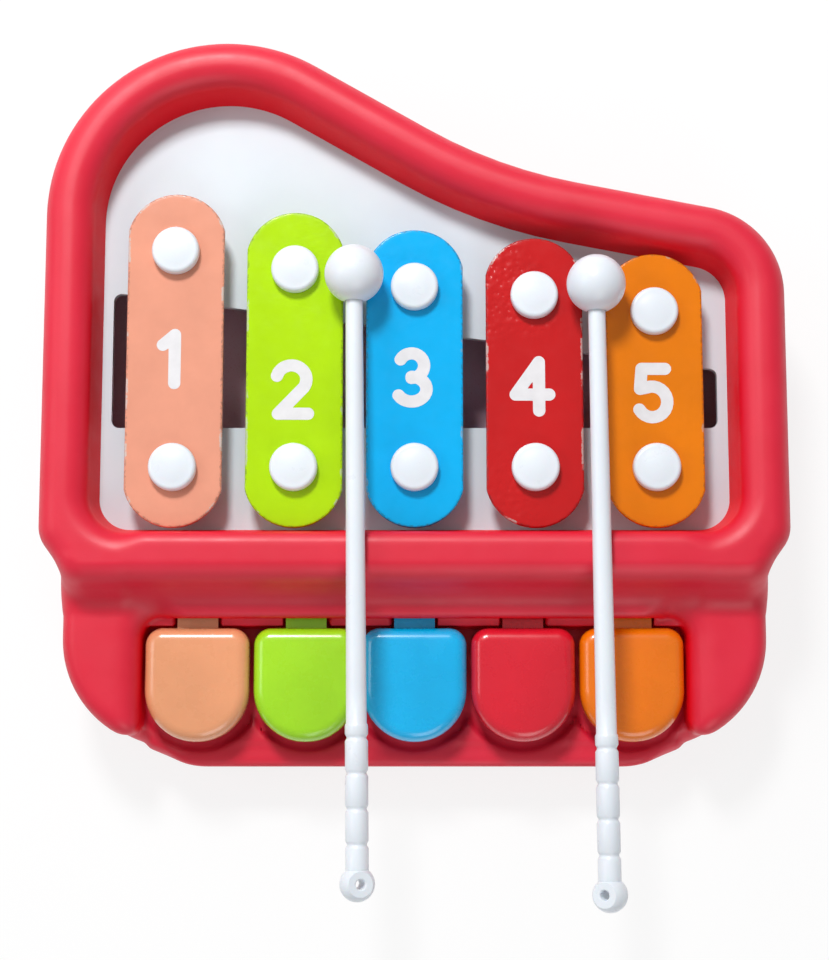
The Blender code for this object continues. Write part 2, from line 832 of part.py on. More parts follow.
def spring_y():
    """The springs stand under the centres of the round key fronts."""
    return KEY_FRONT_Y + KEY_WIDTH / 2


def spigots():
    places = [(key_x(index), spring_y()) for index in range(KEY_COUNT)]
    return cylinders("spigots", places, SPIGOT_RADIUS, BED_Z - WALL / 2, BED_Z + SPIGOT_HEIGHT)


def make_housing(finish):
    cover_posts, deck_posts = screw_posts()
    hollow = combined(
        casing_block(WALL),
        [
            ("DIFFERENCE", window_cutter(WALL, SKIRT_Z)),
            ("DIFFERENCE", cover_posts),
            ("DIFFERENCE", deck_posts),
            ("DIFFERENCE", keeper_ribs()),
        ],
    )
    cover_pilots, deck_pilots = pilot_holes()
    shell = combined(
        casing_block(0),
        [
            ("DIFFERENCE", hollow),
            ("DIFFERENCE", window_cutter(0, SKIRT_Z - OVERRUN)),
            ("DIFFERENCE", arm_slots()),
            ("UNION", spigots()),
            ("DIFFERENCE", cover_pilots),
            ("DIFFERENCE", deck_pilots),
            ("DIFFERENCE", below_casing()),
        ],
    )
    add_object("housing", smooth(shell), finish)


def make_deck(finish):
    outline = rounded(inset(window_corners(), -DECK_MARGIN))
    sheet = plate("deck", [outline, rounded(slot_corners())], DECK_BOTTOM_Z, DECK_TOP_Z)
    lugs = cylinders("lugs", lug_places(), LUG_RADIUS, DECK_BOTTOM_Z, DECK_TOP_Z)
    bosses = cylinders("bosses", pin_places(), BOSS_RADIUS, DECK_BOTTOM_Z, BOSS_TOP_Z, TURNED_STEPS)
    low, high = DECK_BOTTOM_Z - OVERRUN, BOSS_TOP_Z + OVERRUN
    deck = combined(
        sheet,
        [
            ("UNION", lugs),
            ("UNION", bosses),
            ("DIFFERENCE", cylinders("bores", pin_places(), PIN_BORE, low, high)),
            ("DIFFERENCE", cylinders("bores", lug_places(), PILOT_RADIUS, low, high, SCREW_STEPS)),
        ],
    )
    add_object("deck", smooth(deck), finish)


def axle_post(x):
    """A post with an open half-round seat for the axle."""
    half = POST_DEPTH / 2
    top = AXLE_Z + POST_LIP
    arc = [math.pi + math.pi * step / HOLE_SIDES for step in range(HOLE_SIDES + 1)]
    seat = [(AXLE_Y + AXLE_BORE * math.cos(a), AXLE_Z + AXLE_BORE * math.sin(a)) for a in arc]
    low = COVER_TOP_Z - COVER_THICKNESS / 2
    points = [
        (AXLE_Y - half, low),
        (AXLE_Y - half, top),
        (AXLE_Y - AXLE_BORE, top),
        *seat,
        (AXLE_Y + AXLE_BORE, top),
        (AXLE_Y + half, top),
        (AXLE_Y + half, low),
    ]
    return side_plate("post", points, POST_THICKNESS, x)


def make_back_cover(finish):
    edge = WALL + COVER_GAP
    outlines = (rim_corners(), keyboard_corners(), lip_corners())
    sheets = [plate("cover", [rounded(inset(corners, edge))], BASE_Z, COVER_TOP_Z) for corners in outlines]
    low = BASE_Z - OVERRUN
    heads = cylinders(
        "heads", cover_screw_places(), SCREW_HEAD_RADIUS + SEAT_GAP, low, BASE_Z + SCREW_HEAD_HEIGHT, TURNED_STEPS
    )
    bores = cylinders("bores", cover_screw_places(), PILOT_RADIUS, low, COVER_TOP_Z + OVERRUN, SCREW_STEPS)
    cover = combined(
        sheets[0],
        [
            ("UNION", sheets[1]),
            ("UNION", sheets[2]),
            *[("UNION", axle_post(x)) for x in post_places()],
            ("DIFFERENCE", heads),
            ("DIFFERENCE", bores),
        ],
    )
    add_object("back_cover", smooth(cover), finish)


# Tone bars and what holds them

def bar_outline(length, edge):
    """Straight sides between two arcs that are a little flatter than half circles."""
    half = BAR_WIDTH / 2
    radius = (half ** 2 + BAR_END_RISE ** 2) / (2 * BAR_END_RISE)
    spread = math.asin(half / radius)
    steps = math.ceil(2 * spread / ARC_STEP)
    reach = length / 2 - radius
    points = []
    for heading in (math.pi / 2, -math.pi / 2):
        for step in range(steps + 1):
            angle = heading - spread + 2 * spread * step / steps
            middle = math.copysign(reach, heading)
            x, y = (radius - edge) * math.cos(angle), middle + (radius - edge) * math.sin(angle)
            points.append(Vector((max(min(x, half - edge), edge - half), y)))
    return points


def make_bar(index, finish):
    """A flat bar with softened edges and two clearance holes."""
    length = bar_length(index)
    outline = bar_outline(length, 0)
    softened = bar_outline(length, BAR_EDGE)
    levels = [(softened, 0), (outline, BAR_EDGE), (outline, BAR_THICKNESS - BAR_EDGE), (softened, BAR_THICKNESS)]
    solid = loft("bar", [[(p.x, p.y, height) for p in ring] for ring, height in levels])
    reach = length / 2 - PIN_INSET
    holes = cylinders(
        "holes", [(0, -reach), (0, reach)], PIN_BORE + SEAT_GAP, -OVERRUN, BAR_THICKNESS + OVERRUN
    )
    mesh = combined(solid, [("DIFFERENCE", holes)])
    place = (bar_x(index), BAR_FRONT_Y + length / 2, BAR_Z)
    add_object(f"tone_bar_{index + 1}", smooth(mesh), finish, location=place)


def make_pins(finish):
    """Domed caps on stems that go down through bar, pad and deck."""
    corner = PIN_CAP_HEIGHT - PIN_DOME - PIN_CAP_ROUND
    arc = [math.pi / 2 * step / 3 for step in (2, 1, 0)]
    edge = [
        (
            PIN_CAP_RADIUS - PIN_CAP_ROUND + PIN_CAP_ROUND * math.cos(a),
            corner + PIN_CAP_ROUND * math.sin(a),
        )
        for a in arc
    ]
    tail = PIN_Z - DECK_BOTTOM_Z + PIN_TAIL
    profile = [
        (0, PIN_CAP_HEIGHT),
        (PIN_CAP_RADIUS - 2 * PIN_CAP_ROUND, PIN_CAP_HEIGHT - PIN_DOME / 3),
        *edge,
        (PIN_CAP_RADIUS, 0),
        (PIN_STEM_RADIUS, 0),
        (PIN_STEM_RADIUS, -tail),
        (0, -tail),
    ]
    mesh = smooth(turned("bar_pin", profile))
    mesh.materials.append(finish)
    for index in range(len(SEMITONES)):
        add_object(f"bar_pin_front_{index + 1}", mesh, location=(*front_pin(index), PIN_Z))
        add_object(f"bar_pin_rear_{index + 1}", mesh, location=(*rear_pin(index), PIN_Z))


def make_pads(finish):
    """Rings that hold the bars off the deck."""
    loops = [circle((0, 0), PAD_RADIUS, TURNED_STEPS), circle((0, 0), PIN_BORE)]
    mesh = smooth(plate("bar_pad", loops, 0, PAD_HEIGHT))
    mesh.materials.append(finish)
    for index in range(len(SEMITONES)):
        add_object(f"bar_pad_front_{index + 1}", mesh, location=(*front_pin(index), PAD_Z))
        add_object(f"bar_pad_rear_{index + 1}", mesh, location=(*rear_pin(index), PAD_Z))


# Keys. Each is drawn about its axle, and hung on an empty there with its hammer head.

def key_corners():
    half = KEY_WIDTH / 2
    back, front = -AXLE_BEHIND_KEY, -AXLE_BEHIND_KEY - KEY_LENGTH
    nose = KEY_WIDTH * KEY_NOSE_SHARE
    return [
        (half, back, KEY_BACK_CORNER),
        (-half, back, KEY_BACK_CORNER),
        (-half, front, nose),
        (half, front, nose),
    ]


def tail_reach():
    """Distance from the axle to the hammer head."""
    return STRIKE_Y - AXLE_Y


def head_top():
    """Height of the hammer head above the axle, so that a pressed key brings it just under the bar."""
    rise = BAR_Z - STRIKE_GAP - AXLE_Z
    return (rise - (tail_reach() + HEAD_RADIUS) * math.sin(KEY_TRAVEL)) / math.cos(KEY_TRAVEL)


def tail_level():
    """Height of the tail's top above the axle where the slot begins, clear of the deck when raised."""
    return DECK_BOTTOM_Z - AXLE_Z - (WINDOW_Y + SLOT_FRONT_REACH - AXLE_Y) * math.sin(KEY_TRAVEL) - TAIL_DROP / 4


def key_cap():
    """The hollow cap under the finger."""
    high, low = AXLE_BELOW_KEY_TOP, AXLE_BELOW_KEY_TOP - KEY_HEIGHT
    outer = round_over(KEY_ROUND, 0, high, KEY_EDGE_STEPS)
    inner = round_over(KEY_ROUND, KEY_WALL, high, HIDDEN_EDGE_STEPS)
    hollow = stacked("hollow", key_corners(), [(KEY_WALL, low - OVERRUN), *inner])
    return combined(stacked("cap", key_corners(), [(0, low), *outer]), [("DIFFERENCE", hollow)])


def key_arm():
    """The arm that joins the cap to the hub, thicker where it is past the casing's wall."""
    high = AXLE_BELOW_KEY_TOP - ARM_DROP
    low = high - ARM_THICKNESS
    inside = -AXLE_BEHIND_KEY - KEY_BACK_CORNER
    points = [
        (inside, low),
        (-2 * HUB_RADIUS, low),
        (-HUB_RADIUS, 0),
        (0, 0),
        (0, HUB_RADIUS / 2),
        (-HUB_RADIUS / 2, high),
        (inside, high),
    ]
    return side_plate("arm", points, ARM_WIDTH)


def key_tail(shift):
    """The tail from the hub to the head, leaning sideways from the key's middle to the bar's."""
    bend = WINDOW_Y + SLOT_FRONT_REACH - AXLE_Y
    end = tail_reach() + TAIL_END
    high = min(tail_level(), HUB_RADIUS - TAIL_DROP)
    points = [
        (-HUB_RADIUS / 2, -HUB_RADIUS / 2),
        (bend, high - TAIL_THICKNESS),
        (end, high - TAIL_THICKNESS),
        (end, high),
        (bend, high),
        (0, HUB_RADIUS / 2),
    ]
    mesh = side_plate("tail", points, TAIL_WIDTH)
    lean = Matrix.Identity(4)
    lean[0][1] = shift / tail_reach()
    mesh.transform(lean)
    return mesh


def head_seat():
    """Height above the axle of the shoulder that the hammer head sits on."""
    return head_top() - HEAD_HEIGHT - SEAT_GAP


def key_lever(shift):
    """Cap, arm, hub, tail and head seat as one moulding, bored for the axle."""
    reach = KEY_PITCH / 2 - POST_THICKNESS / 2 - HUB_END_GAP
    place = [(shift, tail_reach())]
    low = tail_level() - TAIL_THICKNESS / 2
    return combined(
        key_cap(),
        [
            ("UNION", key_arm()),
            ("UNION", key_tail(shift)),
            ("UNION", cylinders("hub", [(0, 0)], HUB_RADIUS, -reach, reach, TURNED_STEPS, "X")),
            ("UNION", cylinders("seat", place, HEAD_SEAT_RADIUS, low, head_seat(), TURNED_STEPS)),
            ("UNION", cylinders("peg", place, PEG_RADIUS, low, head_seat() + PEG_HEIGHT)),
            ("DIFFERENCE", cylinders("bore", [(0, 0)], AXLE_BORE, -HALF_BODY, HALF_BODY, TURNED_STEPS, "X")),
        ],
    )


def hammer_head():
    """A round-edged head, bored from below for the peg of the tail."""
    bore = PEG_RADIUS + SEAT_GAP
    depth = PEG_HEIGHT + SEAT_GAP
    arc = [math.pi / 2 * step / KEY_EDGE_STEPS for step in range(KEY_EDGE_STEPS, -1, -1)]
    edge = [
        (HEAD_RADIUS - HEAD_ROUND + HEAD_ROUND * math.cos(a), HEAD_HEIGHT - HEAD_ROUND + HEAD_ROUND * math.sin(a))
        for a in arc
    ]
    return turned("hammer_head", [(0, HEAD_HEIGHT), *edge, (HEAD_RADIUS, 0), (bore, 0), (bore, depth), (0, depth)])


def make_keys(colours, head_finish):
    for index, finish in enumerate(colours):
        pivot = add_object(f"key_pivot_{index + 1}", None, location=(key_x(index), AXLE_Y, AXLE_Z))
        shift = bar_x(index) - key_x(index)
        add_object(f"key_{index + 1}", smooth(key_lever(shift)), finish, parent=pivot)
        place = (shift, tail_reach(), head_seat() + SEAT_GAP)
        add_object(f"hammer_head_{index + 1}", smooth(hammer_head()), head_finish, parent=pivot, location=place)


def make_key_axle(finish):
    end = post_places()[-1] + POST_THICKNESS / 2 + AXLE_END
    rod = cylinders("key_axle", [(AXLE_Y, AXLE_Z)], AXLE_RADIUS, -end, end, TURNED_STEPS, "X")
    add_object("key_axle", smooth(rod), finish)


def spring_points():
    """Centres of the wire, in even turns from the bed to the underside of the cap."""
    low = BED_Z + SEAT_GAP + SPRING_WIRE / 2
    high = KEY_TOP_Z - KEY_WALL - SEAT_GAP - SPRING_WIRE / 2
    count = SPRING_TURNS * SPRING_POINTS
    points = []
    for step in range(count + 1):
        angle = math.tau * step / SPRING_POINTS
        rise = low + (high - low) * step / count
        points.append(Vector((SPRING_RADIUS * math.cos(angle), SPRING_RADIUS * math.sin(angle), rise)))
    return points


def least_gap(points, skip, thickness):
    """Least space between stretches of a wire that lie more than the skipped points apart."""
    pairs = [(a, b) for i, a in enumerate(points) for b in points[i + skip:]]
    return min((a - b).length for a, b in pairs) - thickness


def make_springs(finish):
    points = spring_points()
    gap = least_gap(points, SPRING_POINTS // 2, SPRING_WIRE)
    print(f"least gap between the turns of a key spring: {gap:.4f} m")
    for index in range(KEY_COUNT):
        curve = bpy.data.curves.new("spring", "CURVE")
        curve.dimensions = "3D"
        curve.bevel_depth = SPRING_WIRE / 2
        curve.bevel_resolution = 1
        curve.use_fill_caps = True
        spline = curve.splines.new("POLY")
        spline.points.add(len(points) - 1)
        for target, point in zip(spline.points, points):
            target.co = (*point, 1)
        mesh = curve_mesh("spring", curve)
        add_object(f"key_spring_{index + 1}", smooth(mesh), finish, location=(key_x(index), spring_y(), 0))


# Screws and feet

def screw_mesh():
    """A screw driven from below. Its head hangs under the seat at height zero."""
    return turned(
        "screw",
        [
            (0, SCREW_LENGTH),
            (SCREW_RADIUS, SCREW_LENGTH - SCREW_RADIUS),
            (SCREW_RADIUS, 0),
            (SCREW_HEAD_RADIUS, 0),
            (SCREW_HEAD_RADIUS, -SCREW_HEAD_HEIGHT),
            (0, -SCREW_HEAD_HEIGHT),
        ],
        SCREW_STEPS,
    )


def make_screws(finish):
    cover_seat = BASE_Z + SCREW_HEAD_HEIGHT - SEAT_GAP
    deck_seat = DECK_BOTTOM_Z - SEAT_GAP
    mesh = smooth(screw_mesh())
    mesh.materials.append(finish)
    for index, (cover_place, deck_place) in enumerate(zip(cover_screw_places(), lug_places())):
        add_object(f"cover_screw_{index + 1}", mesh, location=(*cover_place, cover_seat))
        add_object(f"deck_screw_{index + 1}", mesh, location=(*deck_place, deck_seat))


def make_feet(finish):
    """Stick-on feet, a little narrower at the floor."""
    foot = turned(
        "foot",
        [
            (0, FOOT_HEIGHT),
            (FOOT_RADIUS, FOOT_HEIGHT),
            (FOOT_RADIUS - FOOT_TAPER, 0),
            (0, 0),
        ],
    )
    smooth(foot).materials.append(finish)
    for index, place in enumerate(foot_places()):
        add_object(f"foot_{index + 1}", foot, location=(*place, 0))


# Mallets. Each is drawn along Z with its ball at the origin, and then laid along Y.

def mallet_shaft(roll):
    """A tapering shaft, a ribbed grip and an eye to hang the mallet by."""
    grip_start = MALLET_LENGTH - EYE_RADIUS - GRIP_LENGTH
    segment = GRIP_LENGTH / GRIP_SEGMENTS
    profile = [
        (0, SOCKET_BEYOND_CENTRE),
        (SHAFT_RADIUS, SOCKET_BEYOND_CENTRE),
        (SHAFT_END_RADIUS, -grip_start),
        (GRIP_RADIUS, -grip_start - GROOVE_WIDTH),
    ]
    for step in range(GRIP_SEGMENTS):
        middle = grip_start + segment * (step + GROOVE_PLACE_SHARE)
        profile.append((GRIP_RADIUS, GROOVE_WIDTH - middle))
        profile.append((GRIP_RADIUS - GROOVE_DEPTH, -middle))
        profile.append((GRIP_RADIUS, -middle - GROOVE_WIDTH))
    end = MALLET_LENGTH - EYE_HOLE_RADIUS - GROOVE_WIDTH
    profile.append((GRIP_RADIUS, -end))
    profile.append((0, -end))
    shaft = turned("shaft", profile)
    half = EYE_THICKNESS / 2
    spread = math.asin(half / EYE_RADIUS)
    arc = [spread - 2 * spread * step / EYE_STEPS for step in range(EYE_STEPS + 1)]
    rim = [(EYE_RADIUS * math.cos(a), EYE_RADIUS * math.sin(a)) for a in arc]
    eye = turned("eye", [(EYE_HOLE_RADIUS, half), *rim, (EYE_HOLE_RADIUS, -half)])
    sideways = Matrix.Rotation(math.pi / 2, 4, "X")
    eye.transform(Matrix.Translation((0, 0, -MALLET_LENGTH)) @ Matrix.Rotation(roll, 4, "Z") @ sideways)
    return combined(shaft, [("UNION", eye)])


def mallet_ball():
    """A ball with a blind socket for the shaft."""

    def build(work):
        bmesh.ops.create_uvsphere(work, u_segments=BALL_SEGMENTS, v_segments=BALL_RINGS, radius=BALL_RADIUS)

    bore = SHAFT_RADIUS + SEAT_GAP
    socket = cylinders("socket", [(0, 0)], bore, -2 * BALL_RADIUS, SOCKET_BEYOND_CENTRE + SEAT_GAP, TURNED_STEPS)
    return combined(mesh_from("ball", build), [("DIFFERENCE", socket)])


def make_mallet(side, gap_index, ball_reach, yaw, roll, finish):
    """A mallet laid with its ball between two bars and its shaft over the crest of the rim."""
    half_gap = (BAR_PITCH - BAR_WIDTH) / 2
    ball_x = (bar_x(gap_index) + bar_x(gap_index + 1)) / 2
    ball_y = WINDOW_Y + ball_reach
    ball_z = BAR_TOP_Z + math.sqrt((BALL_RADIUS + SEAT_GAP) ** 2 - half_gap ** 2)
    run = ball_reach + RIM_DRAFT + RIM_ROUND
    shaft_share = run / (MALLET_LENGTH - EYE_RADIUS - GRIP_LENGTH)
    radius = SHAFT_RADIUS + (SHAFT_END_RADIUS - SHAFT_RADIUS) * shaft_share
    pitch = math.atan2(CREST_Z + SEAT_GAP + radius - ball_z, run)
    rest = add_object(f"mallet_{side}_rest", None, location=(ball_x, ball_y, ball_z))
    rest.rotation_euler = (-pitch, 0, yaw)
    along = Matrix.Rotation(-math.pi / 2, 4, "X")
    for part, mesh in (("handle", mallet_shaft(roll)), ("head", mallet_ball())):
        mesh.transform(along)
        add_object(f"mallet_{side}_{part}", smooth(mesh), finish, parent=rest)


def main():
    red = material("red_plastic", RED, 0.25)
    white = material("white_plastic", WHITE, 0.3)
    steel = material("steel", STEEL, 0.3, 1.0)
    make_housing(red)
    make_deck(white)
    make_back_cover(red)
    for index, (name, colour) in enumerate(BAR_COLOURS.items()):
        make_bar(index, material(f"{name}_paint", colour, 0.2))
    make_pins(white)
    make_pads(material("foam", FOAM, 0.9))
    make_keys([material(f"{name}_key", colour, 0.25) for name, colour in KEY_COLOURS.items()], white)
    make_key_axle(steel)
    make_springs(steel)
    make_screws(steel)
    make_feet(material("rubber", RUBBER, 0.8))
    make_mallet("left", 1, LEFT_BALL_REACH, LEFT_YAW, LEFT_ROLL, white)
    make_mallet("right", 3, RIGHT_BALL_REACH, RIGHT_YAW, RIGHT_ROLL, white)


clear_scene()
PARTS = new_collection("Xylophone piano toy")
CUTTERS = new_collection("Cutters")
main()
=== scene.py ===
"""Dress a toy xylophone shaped like a grand piano, with its keys and two mallets, for a studio picture."""
from __future__ import annotations

import logging
import math
from collections.abc import Callable, Sequence
from dataclasses import dataclass, field
from enum import Enum

import bmesh
import bpy
import numpy as np
from mathutils import Matrix, Vector

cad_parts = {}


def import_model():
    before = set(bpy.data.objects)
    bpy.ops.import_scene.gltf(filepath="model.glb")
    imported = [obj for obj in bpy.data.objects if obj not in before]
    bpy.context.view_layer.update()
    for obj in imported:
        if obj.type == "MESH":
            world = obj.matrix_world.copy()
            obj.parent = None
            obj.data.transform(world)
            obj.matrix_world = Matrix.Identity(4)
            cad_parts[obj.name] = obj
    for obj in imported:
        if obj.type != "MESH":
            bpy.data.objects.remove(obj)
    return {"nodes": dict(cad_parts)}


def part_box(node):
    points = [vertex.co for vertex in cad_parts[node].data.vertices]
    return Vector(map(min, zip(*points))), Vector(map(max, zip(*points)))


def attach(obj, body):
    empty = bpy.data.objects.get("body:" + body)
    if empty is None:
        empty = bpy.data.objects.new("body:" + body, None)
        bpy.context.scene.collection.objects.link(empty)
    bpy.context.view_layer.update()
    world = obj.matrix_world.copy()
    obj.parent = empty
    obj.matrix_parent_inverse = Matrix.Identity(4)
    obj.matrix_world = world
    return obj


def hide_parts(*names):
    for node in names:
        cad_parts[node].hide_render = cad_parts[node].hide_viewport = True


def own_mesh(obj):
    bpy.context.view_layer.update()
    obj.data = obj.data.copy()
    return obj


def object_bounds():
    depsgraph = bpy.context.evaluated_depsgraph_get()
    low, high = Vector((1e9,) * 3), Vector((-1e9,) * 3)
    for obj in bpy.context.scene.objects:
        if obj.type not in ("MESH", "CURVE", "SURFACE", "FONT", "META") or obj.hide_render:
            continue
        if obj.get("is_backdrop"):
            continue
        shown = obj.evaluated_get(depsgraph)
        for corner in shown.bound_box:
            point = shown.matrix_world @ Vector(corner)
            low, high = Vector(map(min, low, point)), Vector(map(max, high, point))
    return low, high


LOG = logging.getLogger("toy_xylophone")
MM = 0.001
SEAT_GAP = 0.3 * MM
MERGE_DISTANCE = 0.0001 * MM
AXIS_RADIUS = 0.001 * MM
SMALLEST_ROUND = 0.05 * MM
BROKEN_EDGE = 0.25 * MM
CASING = "casing"

Corner = tuple[float, float, float]
Point3 = tuple[float, float, float]
Colour = tuple[float, float, float]
Span = tuple[float, float]
Profile = Sequence[tuple[float, float]]
Wire = tuple[str, str | int, str, str | int]
Socket = bpy.types.NodeSocket


class Slot(Enum):
    """Names of finishes."""

    RED = "red_plastic"
    WHITE = "white_plastic"
    FOAM = "foam"
    STEEL = "steel"
    RUBBER = "rubber"


@dataclass(frozen=True)
class Note:
    """Everything that differs from one bar and key to the next."""

    index: int
    semitones: int
    paint: Colour
    paint_slot: str
    plastic: Colour
    plastic_slot: str
    chips: float
    crinkle: float
    middle: int = 3
    bar_pitch: float = 37.1 * MM
    key_pitch: float = 33.65 * MM
    longest: float = 105 * MM

    @property
    def bar_x(self) -> float:
        """Middle of the bar along X."""
        return (self.index - self.middle) * self.bar_pitch

    @property
    def key_x(self) -> float:
        """Middle of the key along X."""
        return (self.index - self.middle) * self.key_pitch

    @property
    def bar_length(self) -> float:
        """Length of the bar, which shrinks by the square root of two with each octave."""
        return self.longest * 2 ** (-self.semitones / 24)


NOTES = (
    Note(1, 0, (0.915, 0.620, 0.515), "peach_paint", (0.940, 0.645, 0.465), "peach_key", 0.7, 0.1),
    Note(2, 2, (0.700, 0.885, 0.010), "lime_paint", (0.655, 0.905, 0.120), "lime_key", 0.5, 0.08),
    Note(3, 4, (0.010, 0.700, 0.950), "blue_paint", (0.010, 0.735, 0.970), "blue_key", 0.25, 0.08),
    Note(4, 5, (0.780, 0.105, 0.115), "scarlet_paint", (0.875, 0.100, 0.190), "crimson_key", 0.6, 0.55),
    Note(5, 7, (0.910, 0.490, 0.010), "orange_paint", (0.965, 0.490, 0.005), "orange_key", 0.3, 0.16),
)


def linear(colour: Sequence[float]) -> tuple[float, float, float, float]:
    """Turn a colour as it looks on a screen into the linear one that a shader takes.

    Args:
        colour: Red, green and blue from 0 to 1.

    Returns:
        The linear colour, with an alpha of 1.
    """
    red, green, blue = [((c + 0.055) / 1.055) ** 2.4 if c > 0.04045 else c / 12.92 for c in colour]
    return red, green, blue, 1.0


# Outlines

@dataclass(frozen=True)
class Outline:
    """A closed flat outline, anticlockwise, whose corners are x, y and radius."""

    corners: tuple[Corner, ...]
    step: float = math.radians(3)

    def directions(self, index: int) -> tuple[Vector, Vector]:
        """Find the directions of the edges into and out of a corner.

        Args:
            index: Which corner.

        Returns:
            Two unit vectors.
        """
        here = Vector(self.corners[index][:2])
        before = Vector(self.corners[index - 1][:2])
        after = Vector(self.corners[(index + 1) % len(self.corners)][:2])
        return (here - before).normalized(), (after - here).normalized()

    def inset(self, distance: float) -> Outline:
        """Move every edge inwards.

        Args:
            distance: How far, or outwards if it is negative.

        Returns:
            The new outline, with each radius changed to match.
        """
        result = []
        for index, (x, y, radius) in enumerate(self.corners):
            incoming, outgoing = self.directions(index)
            first = Vector((-incoming.y, incoming.x))
            second = Vector((-outgoing.y, outgoing.x))
            moved = Vector((x, y)) + (first + second) * (distance / (1 + first.dot(second)))
            change = -distance if incoming.cross(outgoing) > 0 else distance
            result.append((moved.x, moved.y, max(radius + change, SMALLEST_ROUND)))
        return Outline(tuple(result), self.step)

    def points(self) -> list[Vector]:
        """Draw the outline with an arc at each corner.

        Returns:
            Its points, in order.
        """
        points = []
        for index, (x, y, radius) in enumerate(self.corners):
            incoming, outgoing = self.directions(index)
            turn = math.atan2(incoming.cross(outgoing), incoming.dot(outgoing))
            start = Vector((x, y)) - incoming * (radius * math.tan(abs(turn) / 2))
            side = Vector((-incoming.y, incoming.x)) * math.copysign(radius, turn)
            steps = max(2, round(abs(turn) / self.step))
            for number in range(steps + 1):
                points.append(start + side + Matrix.Rotation(turn * number / steps, 2) @ -side)
        return points

    def distance(self, x: np.ndarray, y: np.ndarray) -> np.ndarray:
        """Measure how far places lie from the outline.

        Args:
            x: Places along X.
            y: Places along Y.

        Returns:
            Distances, negative inside.
        """
        corners = np.array([tuple(point) for point in self.points()])
        nearest = np.full(x.shape, np.inf)
        inside = np.zeros(x.shape, bool)
        for (x0, y0), (x1, y1) in zip(corners, np.roll(corners, -1, 0)):
            dx, dy = x1 - x0, y1 - y0
            length = dx * dx + dy * dy
            if length == 0:
                continue
            along = np.clip(((x - x0) * dx + (y - y0) * dy) / length, 0, 1)
            nearest = np.minimum(nearest, (x - x0 - along * dx) ** 2 + (y - y0 - along * dy) ** 2)
            if dy != 0:
                inside ^= ((y0 > y) != (y1 > y)) & (x < dx * (y - y0) / dy + x0)
        return np.where(inside, -1, 1) * np.sqrt(nearest)


# Meshes

def add_object(name: str, data: bpy.types.ID | None) -> bpy.types.Object:
    """Put an object with that data into the scene, at the origin.

    Args:
        name: The object's name.
        data: Its mesh, lamp or camera.

    Returns:
        The object.
    """
    made = bpy.data.objects.new(name, data)
    bpy.context.scene.collection.objects.link(made)
    return made


def plain_mesh(guide: bpy.types.Object) -> bpy.types.Mesh:
    """Turn an object with its modifiers into a plain mesh, and take the object away.

    Args:
        guide: The object.

    Returns:
        The mesh.
    """
    bpy.context.view_layer.update()
    mesh = bpy.data.meshes.new_from_object(guide.evaluated_get(bpy.context.evaluated_depsgraph_get()))
    bpy.data.objects.remove(guide, do_unlink=True)
    return mesh


def mesh_piece(name: str, work: bmesh.types.BMesh, crease: float = 40) -> bpy.types.Object:
    """Make an object of a finished bmesh.

    Args:
        name: The piece's name.
        work: The bmesh, which is freed.
        crease: Angle in degrees above which an edge stays sharp.

    Returns:
        The new object, at the origin.
    """
    bmesh.ops.remove_doubles(work, verts=work.verts, dist=MERGE_DISTANCE)
    bmesh.ops.recalc_face_normals(work, faces=work.faces)
    mesh = bpy.data.meshes.new(name)
    work.to_mesh(mesh)
    work.free()
    mesh.shade_smooth()
    mesh.set_sharp_from_angle(angle=math.radians(crease))
    return add_object(name, mesh)


def loft(work: bmesh.types.BMesh, rings: Sequence[Sequence[Point3]], closed: bool = False) -> None:
    """Add a solid through rings of points, each with as many points as the next.

    Args:
        work: The bmesh to add to.
        rings: The rings, in order.
        closed: Whether the last ring joins the first in place of two caps.
    """
    made = [[work.verts.new(point) for point in ring] for ring in rings]
    pairs = list(zip(made, made[1:]))
    if closed:
        pairs.append((made[-1], made[0]))
    count = len(made[0])
    for lower, upper in pairs:
        for index in range(count):
            after = (index + 1) % count
            work.faces.new((lower[index], lower[after], upper[after], upper[index]))
    if not closed:
        work.faces.new(made[0][::-1])
        work.faces.new(made[-1])


def turn(work: bmesh.types.BMesh, profile: Profile, sides: int = 48) -> None:
    """Add a turned solid about Z.

    Args:
        work: The bmesh to add to.
        profile: Points of radius and height. One that is off the axis at both ends makes a closed ring.
        sides: Points round each ring.
    """
    rings = []
    for radius, height in profile:
        radius = max(radius, AXIS_RADIUS)
        angles = [math.tau * step / sides for step in range(sides)]
        rings.append([(radius * math.cos(a), radius * math.sin(a), height) for a in angles])
    loft(work, rings, closed=profile[0][0] > 0)


def quarter(radius: float, top: float, steps: int = 6) -> list[tuple[float, float]]:
    """List the steps round an upper edge, from the wall to the top.

    Args:
        radius: Radius of the edge.
        top: Height of the top.
        steps: Faces round the edge.

    Returns:
        The inset and the height of each step.
    """
    angles = [math.pi / 2 * step / steps for step in range(steps + 1)]
    return [(radius - radius * math.cos(a), top - radius + radius * math.sin(a)) for a in angles]


def turned_piece(name: str, profile: Profile, sides: int = 48) -> bpy.types.Object:
    """Make one turned solid an object of its own.

    Args:
        name: The object's name.
        profile: Points of radius and height.
        sides: Points round each ring.

    Returns:
        The object.
    """
    work = bmesh.new()
    turn(work, profile, sides)
    return mesh_piece(name, work)


# Finishes

